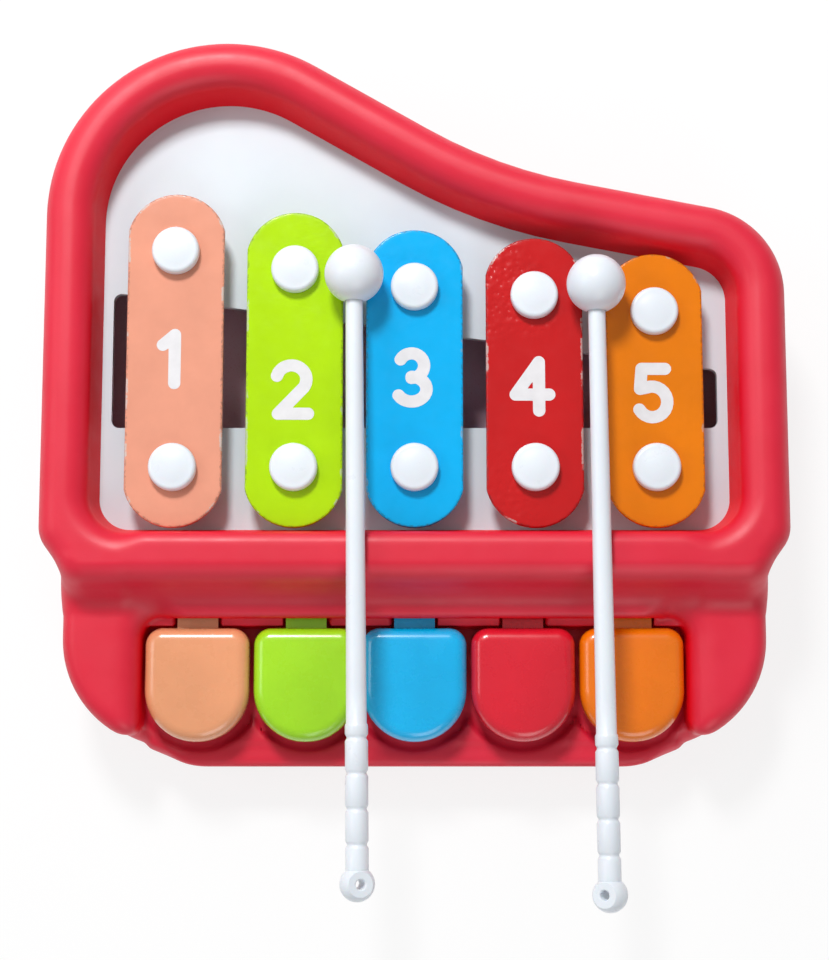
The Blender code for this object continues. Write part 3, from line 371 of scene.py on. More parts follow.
@dataclass
class Shader:
    """Adds nodes to one material."""

    name: str
    material: bpy.types.Material = field(init=False)

    def __post_init__(self) -> None:
        """Start a material with its Principled shader."""
        self.material = bpy.data.materials.new(self.name)
        self.material.use_nodes = True
        self.tree = self.material.node_tree
        self.surface = self.tree.nodes["Principled BSDF"]

    def set(self, **values: float | tuple) -> None:
        """Set sockets of the Principled shader, named in words with underscores."""
        for key, value in values.items():
            self.surface.inputs[key.replace("_", " ")].default_value = value

    def node(self, kind: str, **values: object) -> bpy.types.Node:
        """Add a node.

        Args:
            kind: Its type, without the ShaderNode at the start.
            **values: Its properties, and values of its inputs, whose names follow in_ with underscores.

        Returns:
            The node.
        """
        node = self.tree.nodes.new(f"ShaderNode{kind}")
        for key, value in values.items():
            if key.startswith("in_"):
                node.inputs[key[3:].replace("_", " ")].default_value = value
            else:
                setattr(node, key, value)
        return node

    def link(self, source: Socket, target: Socket) -> None:
        """Join two sockets."""
        self.tree.links.new(source, target)

    def feed(self, name: str, source: Socket) -> None:
        """Drive a socket of the Principled shader."""
        self.link(source, self.surface.inputs[name])

    def place(self) -> Socket:
        """Give the object's own coordinates."""
        return self.node("TexCoord").outputs["Object"]

    def noise(self, scale: float, detail: float = 3, roughness: float = 0.5) -> Socket:
        """Add a noise pattern on the object's own coordinates.

        Args:
            scale: One over the width of its cells in metres.
            detail: How many finer patterns it has.
            roughness: How strong those are.

        Returns:
            The pattern.
        """
        node = self.node("TexNoise", in_Scale=scale, in_Detail=detail, in_Roughness=roughness)
        self.link(self.place(), node.inputs["Vector"])
        return node.outputs["Fac"]

    def range(self, source: Socket, low: float, high: float, to: Span) -> Socket:
        """Stretch part of a value's range to another, and clamp it.

        Args:
            source: The value.
            low: Start of the part.
            high: End of the part.
            to: What its start and its end become.

        Returns:
            The new value.
        """
        node = self.node("MapRange", in_From_Min=low, in_From_Max=high, in_To_Min=to[0], in_To_Max=to[1])
        self.link(source, node.inputs["Value"])
        return node.outputs["Result"]

    def math(self, operation: str, first: Socket, second: Socket | float) -> Socket:
        """Combine two values.

        Args:
            operation: What is done with them, such as ADD.
            first: The first value.
            second: The second value.

        Returns:
            The result.
        """
        node = self.node("Math", operation=operation)
        self.link(first, node.inputs[0])
        if isinstance(second, Socket):
            self.link(second, node.inputs[1])
        else:
            node.inputs[1].default_value = second
        return node.outputs[0]

    def mix(self, factor: Socket, first: Socket | Colour, second: Socket | Colour) -> Socket:
        """Blend two colours.

        Args:
            factor: Share of the second.
            first: A socket, or a colour as it looks.
            second: The same.

        Returns:
            The blend.
        """
        node = self.node("Mix", data_type="RGBA")
        self.link(factor, node.inputs[0])
        for target, source in ((node.inputs[6], first), (node.inputs[7], second)):
            if isinstance(source, Socket):
                self.link(source, target)
            else:
                target.default_value = linear(source)
        return node.outputs[2]

    def bump(self, height: Socket, depth: float, strength: float = 1.0) -> None:
        """Raise the surface by a pattern, on top of any bump before it.

        Args:
            height: The pattern.
            depth: How far it rises, in metres.
            strength: How much of it shows.
        """
        node = self.node("Bump", in_Strength=strength, in_Distance=depth)
        self.link(height, node.inputs["Height"])
        socket = self.surface.inputs["Normal"]
        if socket.links:
            self.link(socket.links[0].from_socket, node.inputs["Normal"])
        self.link(node.outputs["Normal"], socket)


@dataclass(frozen=True)
class MouldedPlastic:
    """Moulded plastic with a faint spark-eroded texture, flow marks and handling dust.

    In places it may take painted light or shade, another colour with less gloss: above a height, or where the
    mesh marks painted shade.
    """

    name: str
    colour: Colour
    shade: Colour
    roughness: float = 0.34
    texture_depth: float = 0.025 * MM
    glow: float = 0.0
    coat: float = 0.0
    specular: float = 0.5
    # Colour, height, gloss share and fade of the painted light or shade.
    painted_light: Colour | None = None
    painted_light_z: float | None = None
    painted_light_gloss: float = 0.27
    painted_light_fade: float = 0.2 * MM

    def build(self) -> bpy.types.Material:
        """Make the material.

        Returns:
            The material.
        """
        shader = Shader(self.name)
        flow = shader.noise(28, 4, 0.55)
        blotch = shader.range(flow, 0.3, 0.7, (0, 1))
        speckle = shader.range(shader.noise(2600, 2), 0.62, 0.74, (0, 0.35))
        tinted = shader.mix(blotch, self.shade, self.colour)
        shader.set(Specular_IOR_Level=self.specular)
        # Painted light or shade: another colour, with less gloss, where the mask is 1.
        if self.painted_light is not None:
            painted_light_mask = self.painted_light_mask(shader)
            tinted = shader.mix(painted_light_mask, tinted, self.painted_light)
            glosses = (self.specular, self.painted_light_gloss * self.specular)
            shader.feed("Specular IOR Level", shader.range(painted_light_mask, 0, 1, glosses))
        shader.feed("Base Color", shader.mix(speckle, tinted, self.shade))
        spread = (self.roughness - 0.05, self.roughness + 0.07)
        shader.feed("Roughness", shader.range(shader.noise(140, 5, 0.6), 0.25, 0.75, spread))
        shader.bump(shader.noise(1500, 3, 0.6), self.texture_depth, 0.5)
        shader.bump(shader.noise(60, 2), 0.12 * MM, 0.35)
        shader.set(IOR=1.49, Subsurface_Weight=self.glow, Subsurface_Scale=2 * MM)
        shader.set(Coat_Weight=self.coat, Coat_Roughness=0.2)
        return shader.material

    def painted_light_mask(self, shader: Shader) -> Socket:
        """Find where the painted light or shade goes.

        Args:
            shader: The material's nodes.

        Returns:
            A value that is 1 there and 0 elsewhere.
        """
        if self.painted_light_z is None:
            return shader.node("Attribute", attribute_name="painted_light").outputs["Fac"]
        place = shader.node("SeparateXYZ")
        shader.link(shader.place(), place.inputs["Vector"])
        return shader.range(place.outputs["Z"], self.painted_light_z - self.painted_light_fade, self.painted_light_z, (0, 1))


@dataclass(frozen=True)
class BarPaint:
    """Gloss enamel on a punched steel bar, thin and chipped along its edge."""

    name: str
    colour: Colour
    chips: float
    crinkle: float
    metal: Colour = (0.80, 0.79, 0.77)

    def build(self) -> bpy.types.Material:
        """Make the material.

        Returns:
            The material.
        """
        shader = Shader(self.name)
        deeper = tuple(0.955 * channel for channel in self.colour)
        cloud = shader.range(shader.noise(55, 4, 0.6), 0.3, 0.7, (0, 1))
        painted = shader.mix(cloud, deeper, self.colour)
        rim = shader.node("Attribute", attribute_name="edge").outputs["Fac"]
        ragged = shader.math("MULTIPLY", rim, shader.noise(900, 6, 0.7))
        thin = shader.range(ragged, 0.44, 0.60, (0, 0.55))
        edged = shader.mix(thin, painted, tuple(0.5 * channel for channel in self.colour))
        patches = shader.math("MULTIPLY", ragged, shader.range(shader.noise(70, 3), 0.5, 0.62, (0, 1)))
        bare = shader.range(patches, 0.42 - 0.1 * self.chips, 0.46, (0, self.chips))
        shader.feed("Base Color", shader.mix(bare, edged, self.metal))
        rough = shader.range(shader.noise(240, 4, 0.6), 0.3, 0.7, (0.14, 0.26))
        shader.feed("Roughness", shader.math("ADD", rough, shader.math("MULTIPLY", thin, 0.4)))
        shader.bump(shader.noise(420, 3, 0.5), 0.05 * MM, 0.4)
        pebble = shader.node("TexVoronoi", in_Scale=520, feature="SMOOTH_F1")
        shader.link(shader.place(), pebble.inputs["Vector"])
        where = shader.range(shader.noise(26, 2), 0.46, 0.60, (0, 1))
        shader.bump(shader.math("MULTIPLY", pebble.outputs["Distance"], where), 0.6 * MM, self.crinkle)
        shader.set(Specular_IOR_Level=0.35, IOR=1.5, Coat_Weight=0.15, Coat_Roughness=0.06)
        return shader.material


@dataclass(frozen=True)
class PrintedInk:
    """White pad-printed ink, a little uneven where it lies on the paint."""

    name: str = "printed_ink"
    thin: Colour = (0.865, 0.86, 0.87)
    full: Colour = (0.90, 0.895, 0.905)

    def build(self) -> bpy.types.Material:
        """Make the material.

        Returns:
            The material.
        """
        shader = Shader(self.name)
        uneven = shader.range(shader.noise(260, 3, 0.5), 0.3, 0.7, (0, 1))
        shader.feed("Base Color", shader.mix(uneven, self.thin, self.full))
        shader.bump(shader.noise(1400, 3), 0.02 * MM, 0.4)
        shader.set(Roughness=0.42, Specular_IOR_Level=0.45)
        return shader.material


@dataclass(frozen=True)
class DrawnSteel:
    """Bright steel of wire, rod and screws, with fine lines and a dull film."""

    name: str = "drawn_steel"
    dull: Colour = (0.62, 0.62, 0.63)
    bright: Colour = (0.80, 0.80, 0.81)

    def build(self) -> bpy.types.Material:
        """Make the material.

        Returns:
            The material.
        """
        shader = Shader(self.name)
        film = shader.range(shader.noise(320, 5, 0.65), 0.3, 0.7, (0, 1))
        shader.feed("Base Color", shader.mix(film, self.dull, self.bright))
        shader.feed("Roughness", shader.range(film, 0, 1, (0.38, 0.22)))
        shader.bump(shader.noise(4200, 2), 0.01 * MM, 0.4)
        shader.set(Metallic=1.0)
        return shader.material


@dataclass(frozen=True)
class SoftPad:
    """A soft matte stuff, such as foam or rubber, with open pores."""

    name: str
    colour: Colour
    pore: float

    def build(self) -> bpy.types.Material:
        """Make the material.

        Returns:
            The material.
        """
        shader = Shader(self.name)
        pores = shader.noise(1 / self.pore, 5, 0.7)
        # Darker in the pores, where the bump sinks: painted shade.
        pore_shade = tuple(0.72 * channel for channel in self.colour)
        shader.feed("Base Color", shader.mix(shader.range(pores, 0.35, 0.65, (0, 1)), pore_shade, self.colour))
        shader.bump(pores, self.pore / 3, 0.7)
        shader.set(Roughness=0.85, Specular_IOR_Level=0.3)
        return shader.material


# Repeats

def node_tree(
    name: str, inputs: dict[str, str], output: str, kinds: dict[str, str], wires: Sequence[Wire]
) -> dict[str, bpy.types.Node]:
    """Make a tree of geometry nodes, whose group nodes are called entry and exit.

    Args:
        name: The tree's name.
        inputs: Kinds of its inputs by name.
        output: Name of its output.
        kinds: Kinds of its other nodes by name.
        wires: Links, each a node, its output, the next node and its input.

    Returns:
        The nodes by name.
    """
    tree = bpy.data.node_groups.new(name, "GeometryNodeTree")
    for title, kind in inputs.items():
        tree.interface.new_socket(title, in_out="INPUT", socket_type=f"NodeSocket{kind}")
    tree.interface.new_socket(output, in_out="OUTPUT", socket_type="NodeSocketGeometry")
    kinds = {"entry": "NodeGroupInput", "exit": "NodeGroupOutput", **kinds}
    nodes = {title: tree.nodes.new(kind) for title, kind in kinds.items()}
    for source, leaving, target, entering in wires:
        tree.links.new(nodes[source].outputs[leaving], nodes[target].inputs[entering])
    return nodes


@dataclass(frozen=True)
class Scatter:
    """A tree of geometry nodes that puts a copy of one piece at each point of another.

    Largest and number are where the random node has the input for its upper limit and the output of a number.
    """

    name: str
    largest: int = 3
    number: int = 1

    def build(self) -> bpy.types.NodeTree:
        """Make the tree, with its piece, turn, seed and finish as named inputs.

        Returns:
            The tree.
        """
        inputs = {"Points": "Geometry", "Piece": "Object", "Finish": "Material", "Turn": "Float", "Seed": "Int"}
        kinds = {
            "source": "GeometryNodeObjectInfo",
            "angle": "FunctionNodeRandomValue",
            "spin": "ShaderNodeCombineXYZ",
            "scatter": "GeometryNodeInstanceOnPoints",
            "real": "GeometryNodeRealizeInstances",
            "finish": "GeometryNodeSetMaterial",
        }
        wires = (
            ("entry", "Points", "scatter", "Points"),
            ("entry", "Piece", "source", "Object"),
            ("source", "Geometry", "scatter", "Instance"),
            ("entry", "Turn", "angle", self.largest),
            ("entry", "Seed", "angle", "Seed"),
            ("angle", self.number, "spin", "Z"),
            ("spin", "Vector", "scatter", "Rotation"),
            ("scatter", "Instances", "real", "Geometry"),
            ("real", "Geometry", "finish", "Geometry"),
            ("entry", "Finish", "finish", "Material"),
            ("finish", "Geometry", "exit", "Pieces"),
        )
        return node_tree(self.name, inputs, "Pieces", kinds, wires)["entry"].id_data


@dataclass(frozen=True)
class Coil:
    """A tree of geometry nodes that winds a wire into a spring."""

    name: str
    steps: int = 24
    sides: int = 10

    def build(self) -> bpy.types.NodeTree:
        """Make the tree, with its sizes and its finish as named inputs.

        Returns:
            The tree.
        """
        inputs = {"Start": "Geometry", **dict.fromkeys(("Turns", "Radius", "Height", "Wire"), "Float")}
        kinds = {
            "spiral": "GeometryNodeCurveSpiral",
            "section": "GeometryNodeCurvePrimitiveCircle",
            "sweep": "GeometryNodeCurveToMesh",
            "smooth": "GeometryNodeSetShadeSmooth",
            "real": "GeometryNodeRealizeInstances",
            "finish": "GeometryNodeSetMaterial",
        }
        wires = (
            ("entry", "Turns", "spiral", "Rotations"),
            ("entry", "Radius", "spiral", "Start Radius"),
            ("entry", "Radius", "spiral", "End Radius"),
            ("entry", "Height", "spiral", "Height"),
            ("entry", "Wire", "section", "Radius"),
            ("spiral", "Curve", "sweep", "Curve"),
            ("section", "Curve", "sweep", "Profile Curve"),
            ("sweep", "Mesh", "smooth", "Geometry"),
            ("smooth", "Geometry", "real", "Geometry"),
            ("real", "Geometry", "finish", "Geometry"),
            ("entry", "Finish", "finish", "Material"),
            ("finish", "Geometry", "exit", "Spring"),
        )
        nodes = node_tree(self.name, {**inputs, "Finish": "Material"}, "Spring", kinds, wires)
        nodes["spiral"].inputs["Resolution"].default_value = self.steps
        nodes["section"].inputs["Resolution"].default_value = self.sides
        nodes["sweep"].inputs["Fill Caps"].default_value = True
        return nodes["entry"].id_data


def run_tree(
    name: str, tree: bpy.types.NodeTree, points: Sequence[Point3], values: dict, move: Point3 = (0, 0, 0)
) -> bpy.types.Object:
    """Run a tree on points and keep the plain mesh.

    Args:
        name: The new piece's name.
        tree: The tree.
        points: Places that the tree starts from.
        values: Its inputs by name.
        move: How far the result is moved.

    Returns:
        The new object, at the origin.
    """
    guide_mesh = bpy.data.meshes.new(f"{name}_points")
    guide_mesh.from_pydata([tuple(point) for point in points], [], [])
    guide = add_object(f"{name}_points", guide_mesh)
    modifier = guide.modifiers.new(name, "NODES")
    modifier.node_group = tree
    for item in tree.interface.items_tree:
        if item.in_out == "INPUT" and item.name in values:
            modifier[item.identifier] = values[item.name]
    mesh = plain_mesh(guide)
    mesh.name = name
    mesh.transform(Matrix.Translation(move))
    return add_object(name, mesh)


def dress(
    piece: bpy.types.Object, finish: bpy.types.Material | None, body: str, nodes: Sequence[str]
) -> None:
    """Finish a piece, tie it to its body and let it stand for CAD nodes.

    Args:
        piece: The piece.
        finish: Its material, or None where it has one already.
        body: The body that it moves with.
        nodes: The CAD nodes that it stands for.
    """
    if finish is not None:
        piece.data.materials.clear()
        piece.data.materials.append(finish)
    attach(piece, body)
    if nodes:
        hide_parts(*nodes)
    LOG.info("%s: %d faces on %s", piece.name, len(piece.data.polygons), body)


# Casing

def blend_low(first: np.ndarray, second: np.ndarray, reach: float) -> np.ndarray:
    """Join two solids with a fillet between them.

    Args:
        first: Distances to one solid.
        second: Distances to the other.
        reach: How far the fillet reaches on each.

    Returns:
        Distances to both together.
    """
    share = np.maximum(reach - np.abs(first - second), 0) / reach
    return np.minimum(first, second) - share * share * reach / 4


def blend_high(first: np.ndarray, second: np.ndarray, reach: float) -> np.ndarray:
    """Keep what two solids share, with a rounded edge that reaches as far on each."""
    return -blend_low(-first, -second, reach)


def eased(values: np.ndarray, low: float, high: float) -> np.ndarray:
    """Rise smoothly from 0 to 1 between two values."""
    share = np.clip((values - low) / (high - low), 0, 1)
    return share * share * (3 - 2 * share)


def nearest_key(x: np.ndarray) -> np.ndarray:
    """Give the middle of the key that is nearest to each place along X."""
    pitch = NOTES[1].key_x - NOTES[0].key_x
    return np.clip(np.round(x / pitch), -2, 2) * pitch


def rounded_top(flat: np.ndarray, height: np.ndarray, top: float, radius: float | np.ndarray) -> np.ndarray:
    """Raise an outline to a height and round its upper edge.

    Args:
        flat: Distances to the outline.
        height: Heights of the places.
        top: Height of the solid's top.
        radius: Radius of the edge, which may change from place to place.

    Returns:
        Distances to the solid.
    """
    side, rise = flat + radius, height - top + radius
    return np.minimum(np.maximum(side, rise), 0) + np.hypot(np.maximum(side, 0), np.maximum(rise, 0)) - radius


def surface_net(values: np.ndarray, low: Point3, step: float) -> tuple[np.ndarray, np.ndarray]:
    """Draw the skin where a grid of values passes through zero.

    Args:
        values: One value for each place of the grid, negative inside.
        low: The grid's lowest corner.
        step: The grid's spacing.

    Returns:
        Points of the skin, and its four-sided faces as numbers of points.
    """
    inside = values < 0
    shape = tuple(size - 1 for size in values.shape)
    total = np.zeros((*shape, 3), np.float32)
    count = np.zeros(shape, np.int8)
    base = np.stack(np.meshgrid(*[np.arange(size, dtype=np.float32) for size in shape], indexing="ij"), -1)
    for axis in range(3):
        others = [other for other in range(3) if other != axis]
        for shift in ((0, 0), (0, 1), (1, 0), (1, 1)):
            start = [0, 0, 0]
            start[others[0]], start[others[1]] = shift
            end = list(start)
            end[axis] = 1
            first = values[tuple(slice(s, s + n) for s, n in zip(start, shape))]
            second = values[tuple(slice(s, s + n) for s, n in zip(end, shape))]
            cut = (first < 0) != (second < 0)
            where = np.where(cut, first / np.where(cut, first - second, 1), 0)
            spot = base + np.array(start, np.float32)
            spot[..., axis] += where
            total += np.where(cut[..., None], spot, 0)
            count += cut
    active = count > 0
    numbers = np.full(shape, -1, np.int64)
    numbers[active] = np.arange(int(active.sum()))
    points = total[active] / count[active][:, None] * step + np.array(low)
    faces = []
    for axis in range(3):
        others = [other for other in range(3) if other != axis]
        head = [slice(1, -1)] * 3
        tail = [slice(1, -1)] * 3
        head[axis], tail[axis] = slice(0, -1), slice(1, None)
        cut = inside[tuple(head)] != inside[tuple(tail)]
        places = np.argwhere(cut)
        places[:, others] += 1
        leaving = inside[tuple(places.T)]
        quad = []
        for shift in ((0, 0), (1, 0), (1, 1), (0, 1)):
            cell = places.copy()
            cell[:, others[0]] -= shift[0]
            cell[:, others[1]] -= shift[1]
            quad.append(numbers[tuple(cell.T)])
        quad = np.stack(quad, 1)
        flip = leaving if axis != 1 else ~leaving
        faces.append(np.where(flip[:, None], quad, quad[:, ::-1]))
    return points, np.concatenate(faces)


@dataclass
class Casing:
    """The red moulding: rim, sloping band, cheeks, key recess and lip."""

    window_y: float = -18.9785 * MM
    half_body: float = 115 * MM
    rim_width: float = 17.2 * MM
    rim_round: float = 7.2 * MM
    rim_draft: float = 2.1 * MM
    bass_radius: float = 56 * MM
    bass_reach: float = 97.3 * MM
    treble_radius: float = 28 * MM
    treble_reach: float = 72.5 * MM
    waist_radius: float = 150 * MM
    steep: float = math.radians(30)
    shallow: float = math.radians(11)
    window_corner: float = 9.2 * MM
    front_corner: float = 10 * MM
    shoulder_reach: float = 3.7 * MM
    shoulder_radius: float = 10.5 * MM
    shoulder_nose: float = 9 * MM
    shoulder_angle: float = math.radians(36)
    band_depth: float = 23.8 * MM
    band_slope: float = math.radians(56)
    ledge: float = 3.9 * MM
    half_recess: float = 84.5 * MM
    cheek_width: float = 24.45 * MM
    cheek_round: float = 5.5 * MM
    cheek_corner: float = 33.5 * MM
    cheek_y: float = -86.18 * MM
    recess_corner: float = 6.5 * MM
    recess_run: float = 40 * MM
    shelf_z: float = 27.6 * MM
    shelf_depth: float = 2.2 * MM
    arm_room: float = 7.1 * MM
    arm_z: float = 26.9 * MM
    half_slot: float = 2.7 * MM
    slot_run: float = 2.5 * MM
    peg_radius: float = 2 * MM
    half_peg: float = 2.5 * MM
    half_lip: float = 84.75 * MM
    lip_reach: float = 6 * MM
    lip_slant: float = 15 * MM
    lip_corner: float = 25 * MM
    lip_round: float = 3 * MM
    crease_span: Span = (86.5 * MM, 90.5 * MM)
    crease_depth: float = 0.9 * MM
    front_round: float = 4.2 * MM
    front_run: float = 5 * MM
    front_span: Span = (81 * MM, 91 * MM)
    recess_round: float = 2.6 * MM
    cheek_sweep: float = 9 * MM
    sweep_span: Span = (70 * MM, 80 * MM)
    scallop_rise: float = 1.9 * MM
    scallop_gap: float = 1.3 * MM
    scallop_run: float = 2.6 * MM
    scallop_span: Span = (14 * MM, 20 * MM)
    crest_blend: float = 6.5 * MM
    end_blend: float = 9 * MM
    band_fillet: float = 2 * MM
    cheek_fillet: float = 3.5 * MM
    lip_fillet: float = 1.5 * MM
    bite: float = MM
    wall: float = 2.2 * MM
    base_z: float = 1.5 * MM
    bed_z: float = 17 * MM
    skirt_z: float = 29.3 * MM
    cheek_z: float = 33.5 * MM
    crest_z: float = 47.5 * MM
    room_low: Point3 = (-118 * MM, -96 * MM, -1 * MM)
    room_high: Point3 = (118 * MM, 138 * MM, 50.5 * MM)
    grid: float = 1.1 * MM
    settling_rounds: int = 2
    probe: float = 0.05 * MM
    least_slope: float = 0.3
    foot_share: float = 0.75
    far_share: float = 0.7
    deep_share: float = 0.7
    kept_share: float = 0.78
    outer_weight: float = 1000
    # The four spans below shape the painted shade on the steep walls.
    steep_span: Span = (0.1, 0.75)
    window_span: Span = (8 * MM, 11 * MM)
    recess_span: Span = (0.5 * MM, 3 * MM)
    edge_span: Span = (-4 * MM, -2 * MM)

    @property
    def spring_z(self) -> float:
        """Height where the rim starts to round over."""
        return self.crest_z - self.rim_round

    @property
    def foot_y(self) -> float:
        """Foot of the sloping band."""
        return self.window_y - self.band_depth

    @property
    def recess_y(self) -> float:
        """Rear wall of the key recess."""
        return self.foot_y - self.ledge

    @property
    def slope_centre_y(self) -> float:
        """Middle of the rounding between the rim's crest and the slope."""
        drop = (self.spring_z - self.cheek_z) * math.cos(self.band_slope)
        return self.foot_y + (self.rim_round + drop) / math.sin(self.band_slope)

    @property
    def half_keyboard(self) -> float:
        """Half of the width across the cheeks."""
        return self.half_recess + self.cheek_width

    def piano_back(self, edge: float) -> tuple[Corner, ...]:
        """Find the three rear corners of the piano outline.

        Args:
            edge: How far they lie in from the casing's edge.

        Returns:
            The treble corner, the waist and the bass corner.
        """
        half = self.half_body
        bass_y = self.window_y + self.bass_reach
        treble_y = self.window_y + self.treble_reach
        bass = (-half, bass_y + self.bass_radius * math.tan((math.pi / 2 + self.steep) / 2), self.bass_radius)
        treble_turn = (math.pi / 2 - self.shallow) / 2
        treble = (half, treble_y + self.treble_radius * math.tan(treble_turn), self.treble_radius)
        steep, shallow = math.tan(self.steep), math.tan(self.shallow)
        waist_x = (bass[1] - treble[1] - (steep + shallow) * half) / (steep - shallow)
        waist = (waist_x, treble[1] + shallow * (half - waist_x), self.waist_radius)
        front = self.window_y - self.shoulder_reach
        corner = self.front_corner
        closed = Outline(((half, front, corner), treble, waist, bass, (-half, front, corner)))
        return closed.inset(edge).corners[1:4]

    def rim(self) -> Outline:
        """Draw the outer edge round the window, with its shoulders.

        Returns:
            The outline.
        """
        half, y = self.half_body, self.window_y - self.shoulder_reach
        front = self.slope_centre_y - self.rim_round
        run = (y - front) * math.tan(self.shoulder_angle)
        right = ((half, y, self.shoulder_radius), *self.piano_back(0))
        left = ((-half, y, self.shoulder_radius), (run - half, front, self.shoulder_nose))
        return Outline((*right, *left, (half - run, front, self.shoulder_nose)))

    def window(self) -> Outline:
        """Draw the edge where the rim meets the deck.

        Returns:
            The outline.
        """
        half = self.half_body - self.rim_width
        right = (half, self.window_y, self.window_corner)
        return Outline((right, *self.piano_back(self.rim_width), (-half, self.window_y, self.window_corner)))

    def keyboard(self) -> Outline:
        """Draw the outer edge of the cheeks.

        Returns:
            The outline.
        """
        half, rear = self.half_keyboard, self.window_y - self.shoulder_reach
        corner = self.cheek_corner
        front = ((-half, self.cheek_y, corner), (half, self.cheek_y, corner))
        return Outline(((half, rear, MM), (-half, rear, MM), *front))

    def lip(self) -> Outline:
        """Draw the edge of the low lip in front of the keys.

        Returns:
            The outline.
        """
        half, rear = self.half_lip, self.recess_y
        front = self.cheek_y - self.lip_reach
        slant = self.lip_slant
        return Outline((
            (half, rear, MM),
            (-half, rear, MM),
            (-half, self.cheek_y, self.lip_round),
            (slant - half, front, self.lip_corner),
            (half - slant, front, self.lip_corner),
            (half, self.cheek_y, self.lip_round),
        ))

    def recess(self) -> Outline:
        """Draw the key recess, which runs out over the lip.

        Returns:
            The outline.
        """
        half, rear, front = self.half_recess, self.recess_y, self.cheek_y - self.recess_run
        corner = self.recess_corner
        return Outline(((half, rear, corner), (-half, rear, corner), (-half, front, MM), (half, front, MM)))

    def band(self, x: np.ndarray, y: np.ndarray, z: np.ndarray) -> np.ndarray:
        """Measure the distance to the sloping band, which is a little sunk between its ends.

        Args:
            x: Places along X.
            y: Places along Y.
            z: Heights.

        Returns:
            Distances, negative inside.
        """
        aside = np.abs(x)
        sine, cosine = math.sin(self.band_slope), math.cos(self.band_slope)
        sunk = self.crease_depth * (1 - eased(aside, *self.crease_span))
        slope = (self.slope_centre_y - y) * sine + (z - self.spring_z) * cosine - self.rim_round + sunk
        crested = blend_high(slope, z - self.crest_z, self.crest_blend)
        band = blend_high(crested, aside - self.half_keyboard, self.end_blend)
        return np.maximum(np.maximum(band, y - self.slope_centre_y), self.foot_y - y)

    def shelf(self, x: np.ndarray, y: np.ndarray, z: np.ndarray) -> np.ndarray:
        """Measure the distance to the shelf behind the keys, which leaves room for their arms.

        Args:
            x: Places along X.
            y: Places along Y.
            z: Heights.

        Returns:
            Distances, negative inside.
        """
        arms = self.arm_room - np.abs(x - nearest_key(x))
        across = np.maximum(arms, np.abs(x) - self.half_recess - self.bite)
        along = np.maximum(self.recess_y - self.shelf_depth - y, y - self.recess_y - self.bite)
        upright = np.maximum(z - self.shelf_z, self.bed_z - self.bite - z)
        return np.maximum(np.maximum(across, along), upright)

    def skin(self, flats: dict[str, np.ndarray], x: np.ndarray, y: np.ndarray, z: np.ndarray) -> np.ndarray:
        """Measure the distance from places to the outer form without its window.

        Args:
            flats: Distances to the outlines, by name.
            x: Places along X.
            y: Places along Y.
            z: Heights.

        Returns:
            Distances, negative inside.
        """
        rim = rounded_top(flats["rim"], z, self.crest_z, self.rim_round)
        cheeks = rounded_top(flats["keyboard"], z, self.cheek_z, self.cheek_round)
        lip = rounded_top(flats["lip"], z, self.bed_z + self.scallop_rise, self.lip_round)
        upper = blend_low(blend_low(rim, self.band(x, y, z), self.band_fillet), cheeks, self.cheek_fillet)
        bulk = blend_low(upper, lip, self.lip_fillet)
        rise = self.scallop_rise * (1 - eased(y - self.cheek_y, *self.scallop_span))
        bed = self.bed_z + rise * eased(flats["keys"] - self.scallop_gap, 0, self.scallop_run)
        sweep = self.recess_round + (self.cheek_sweep - self.recess_round) * eased(np.abs(x), *self.sweep_span)
        hollowed = blend_high(bulk, -np.maximum(flats["recess"], bed - z), sweep)
        return np.minimum(hollowed, self.shelf(x, y, z))

    def opening(self, flats: dict[str, np.ndarray], z: np.ndarray) -> np.ndarray:
        """Measure the distance to the window's edge, which widens upwards."""
        rise = np.clip((z - self.skirt_z) / (self.spring_z - self.skirt_z), 0, 1)
        return flats["window"] - self.rim_draft * rise

    def framed(self, flats: dict[str, np.ndarray], x: np.ndarray, y: np.ndarray, z: np.ndarray) -> np.ndarray:
        """Measure the distance to the outer form with its window.

        Args:
            flats: Distances to the outlines, by name.
            x: Places along X.
            y: Places along Y.
            z: Heights.

        Returns:
            Distances, negative inside.
        """
        at_front = 1 - eased(y, self.window_y, self.window_y + self.front_run)
        at_front = at_front * (1 - eased(np.abs(x), *self.front_span))
        radius = self.rim_round + (self.front_round - self.rim_round) * at_front
        mouth = rounded_top(-self.opening(flats, z), z, self.crest_z, radius)
        return np.maximum(self.skin(flats, x, y, z), mouth)

    def shell(self, flats: dict[str, np.ndarray], x: np.ndarray, y: np.ndarray, z: np.ndarray) -> np.ndarray:
        """Measure the distance to the moulded wall, open underneath and with its window and arm slots.

        Args:
            flats: Distances to the outlines, by name.
            x: Places along X.
            y: Places along Y.
            z: Heights.

        Returns:
            Distances, negative inside.
        """
        framed = self.framed(flats, x, y, z)
        over_deck = np.maximum(self.opening(flats, z) - 2 * self.wall, z - self.skirt_z)
        wall = np.maximum(np.maximum(framed, -framed - self.wall), -over_deck)
        spring_y = Keys().spring_y
        for note in NOTES:
            slot = np.maximum(np.abs(x - note.key_x) - self.arm_room, np.abs(z - self.arm_z) - self.half_slot)
            slot = np.maximum(slot, np.abs(y - self.recess_y - self.wall / 2) - self.slot_run)
            wall = np.maximum(wall, -slot)
            peg = np.hypot(x - note.key_x, y - spring_y) - self.peg_radius
            peg = np.maximum(peg, np.abs(z - self.bed_z - self.bite) - self.half_peg)
            wall = np.minimum(wall, peg)
        return wall

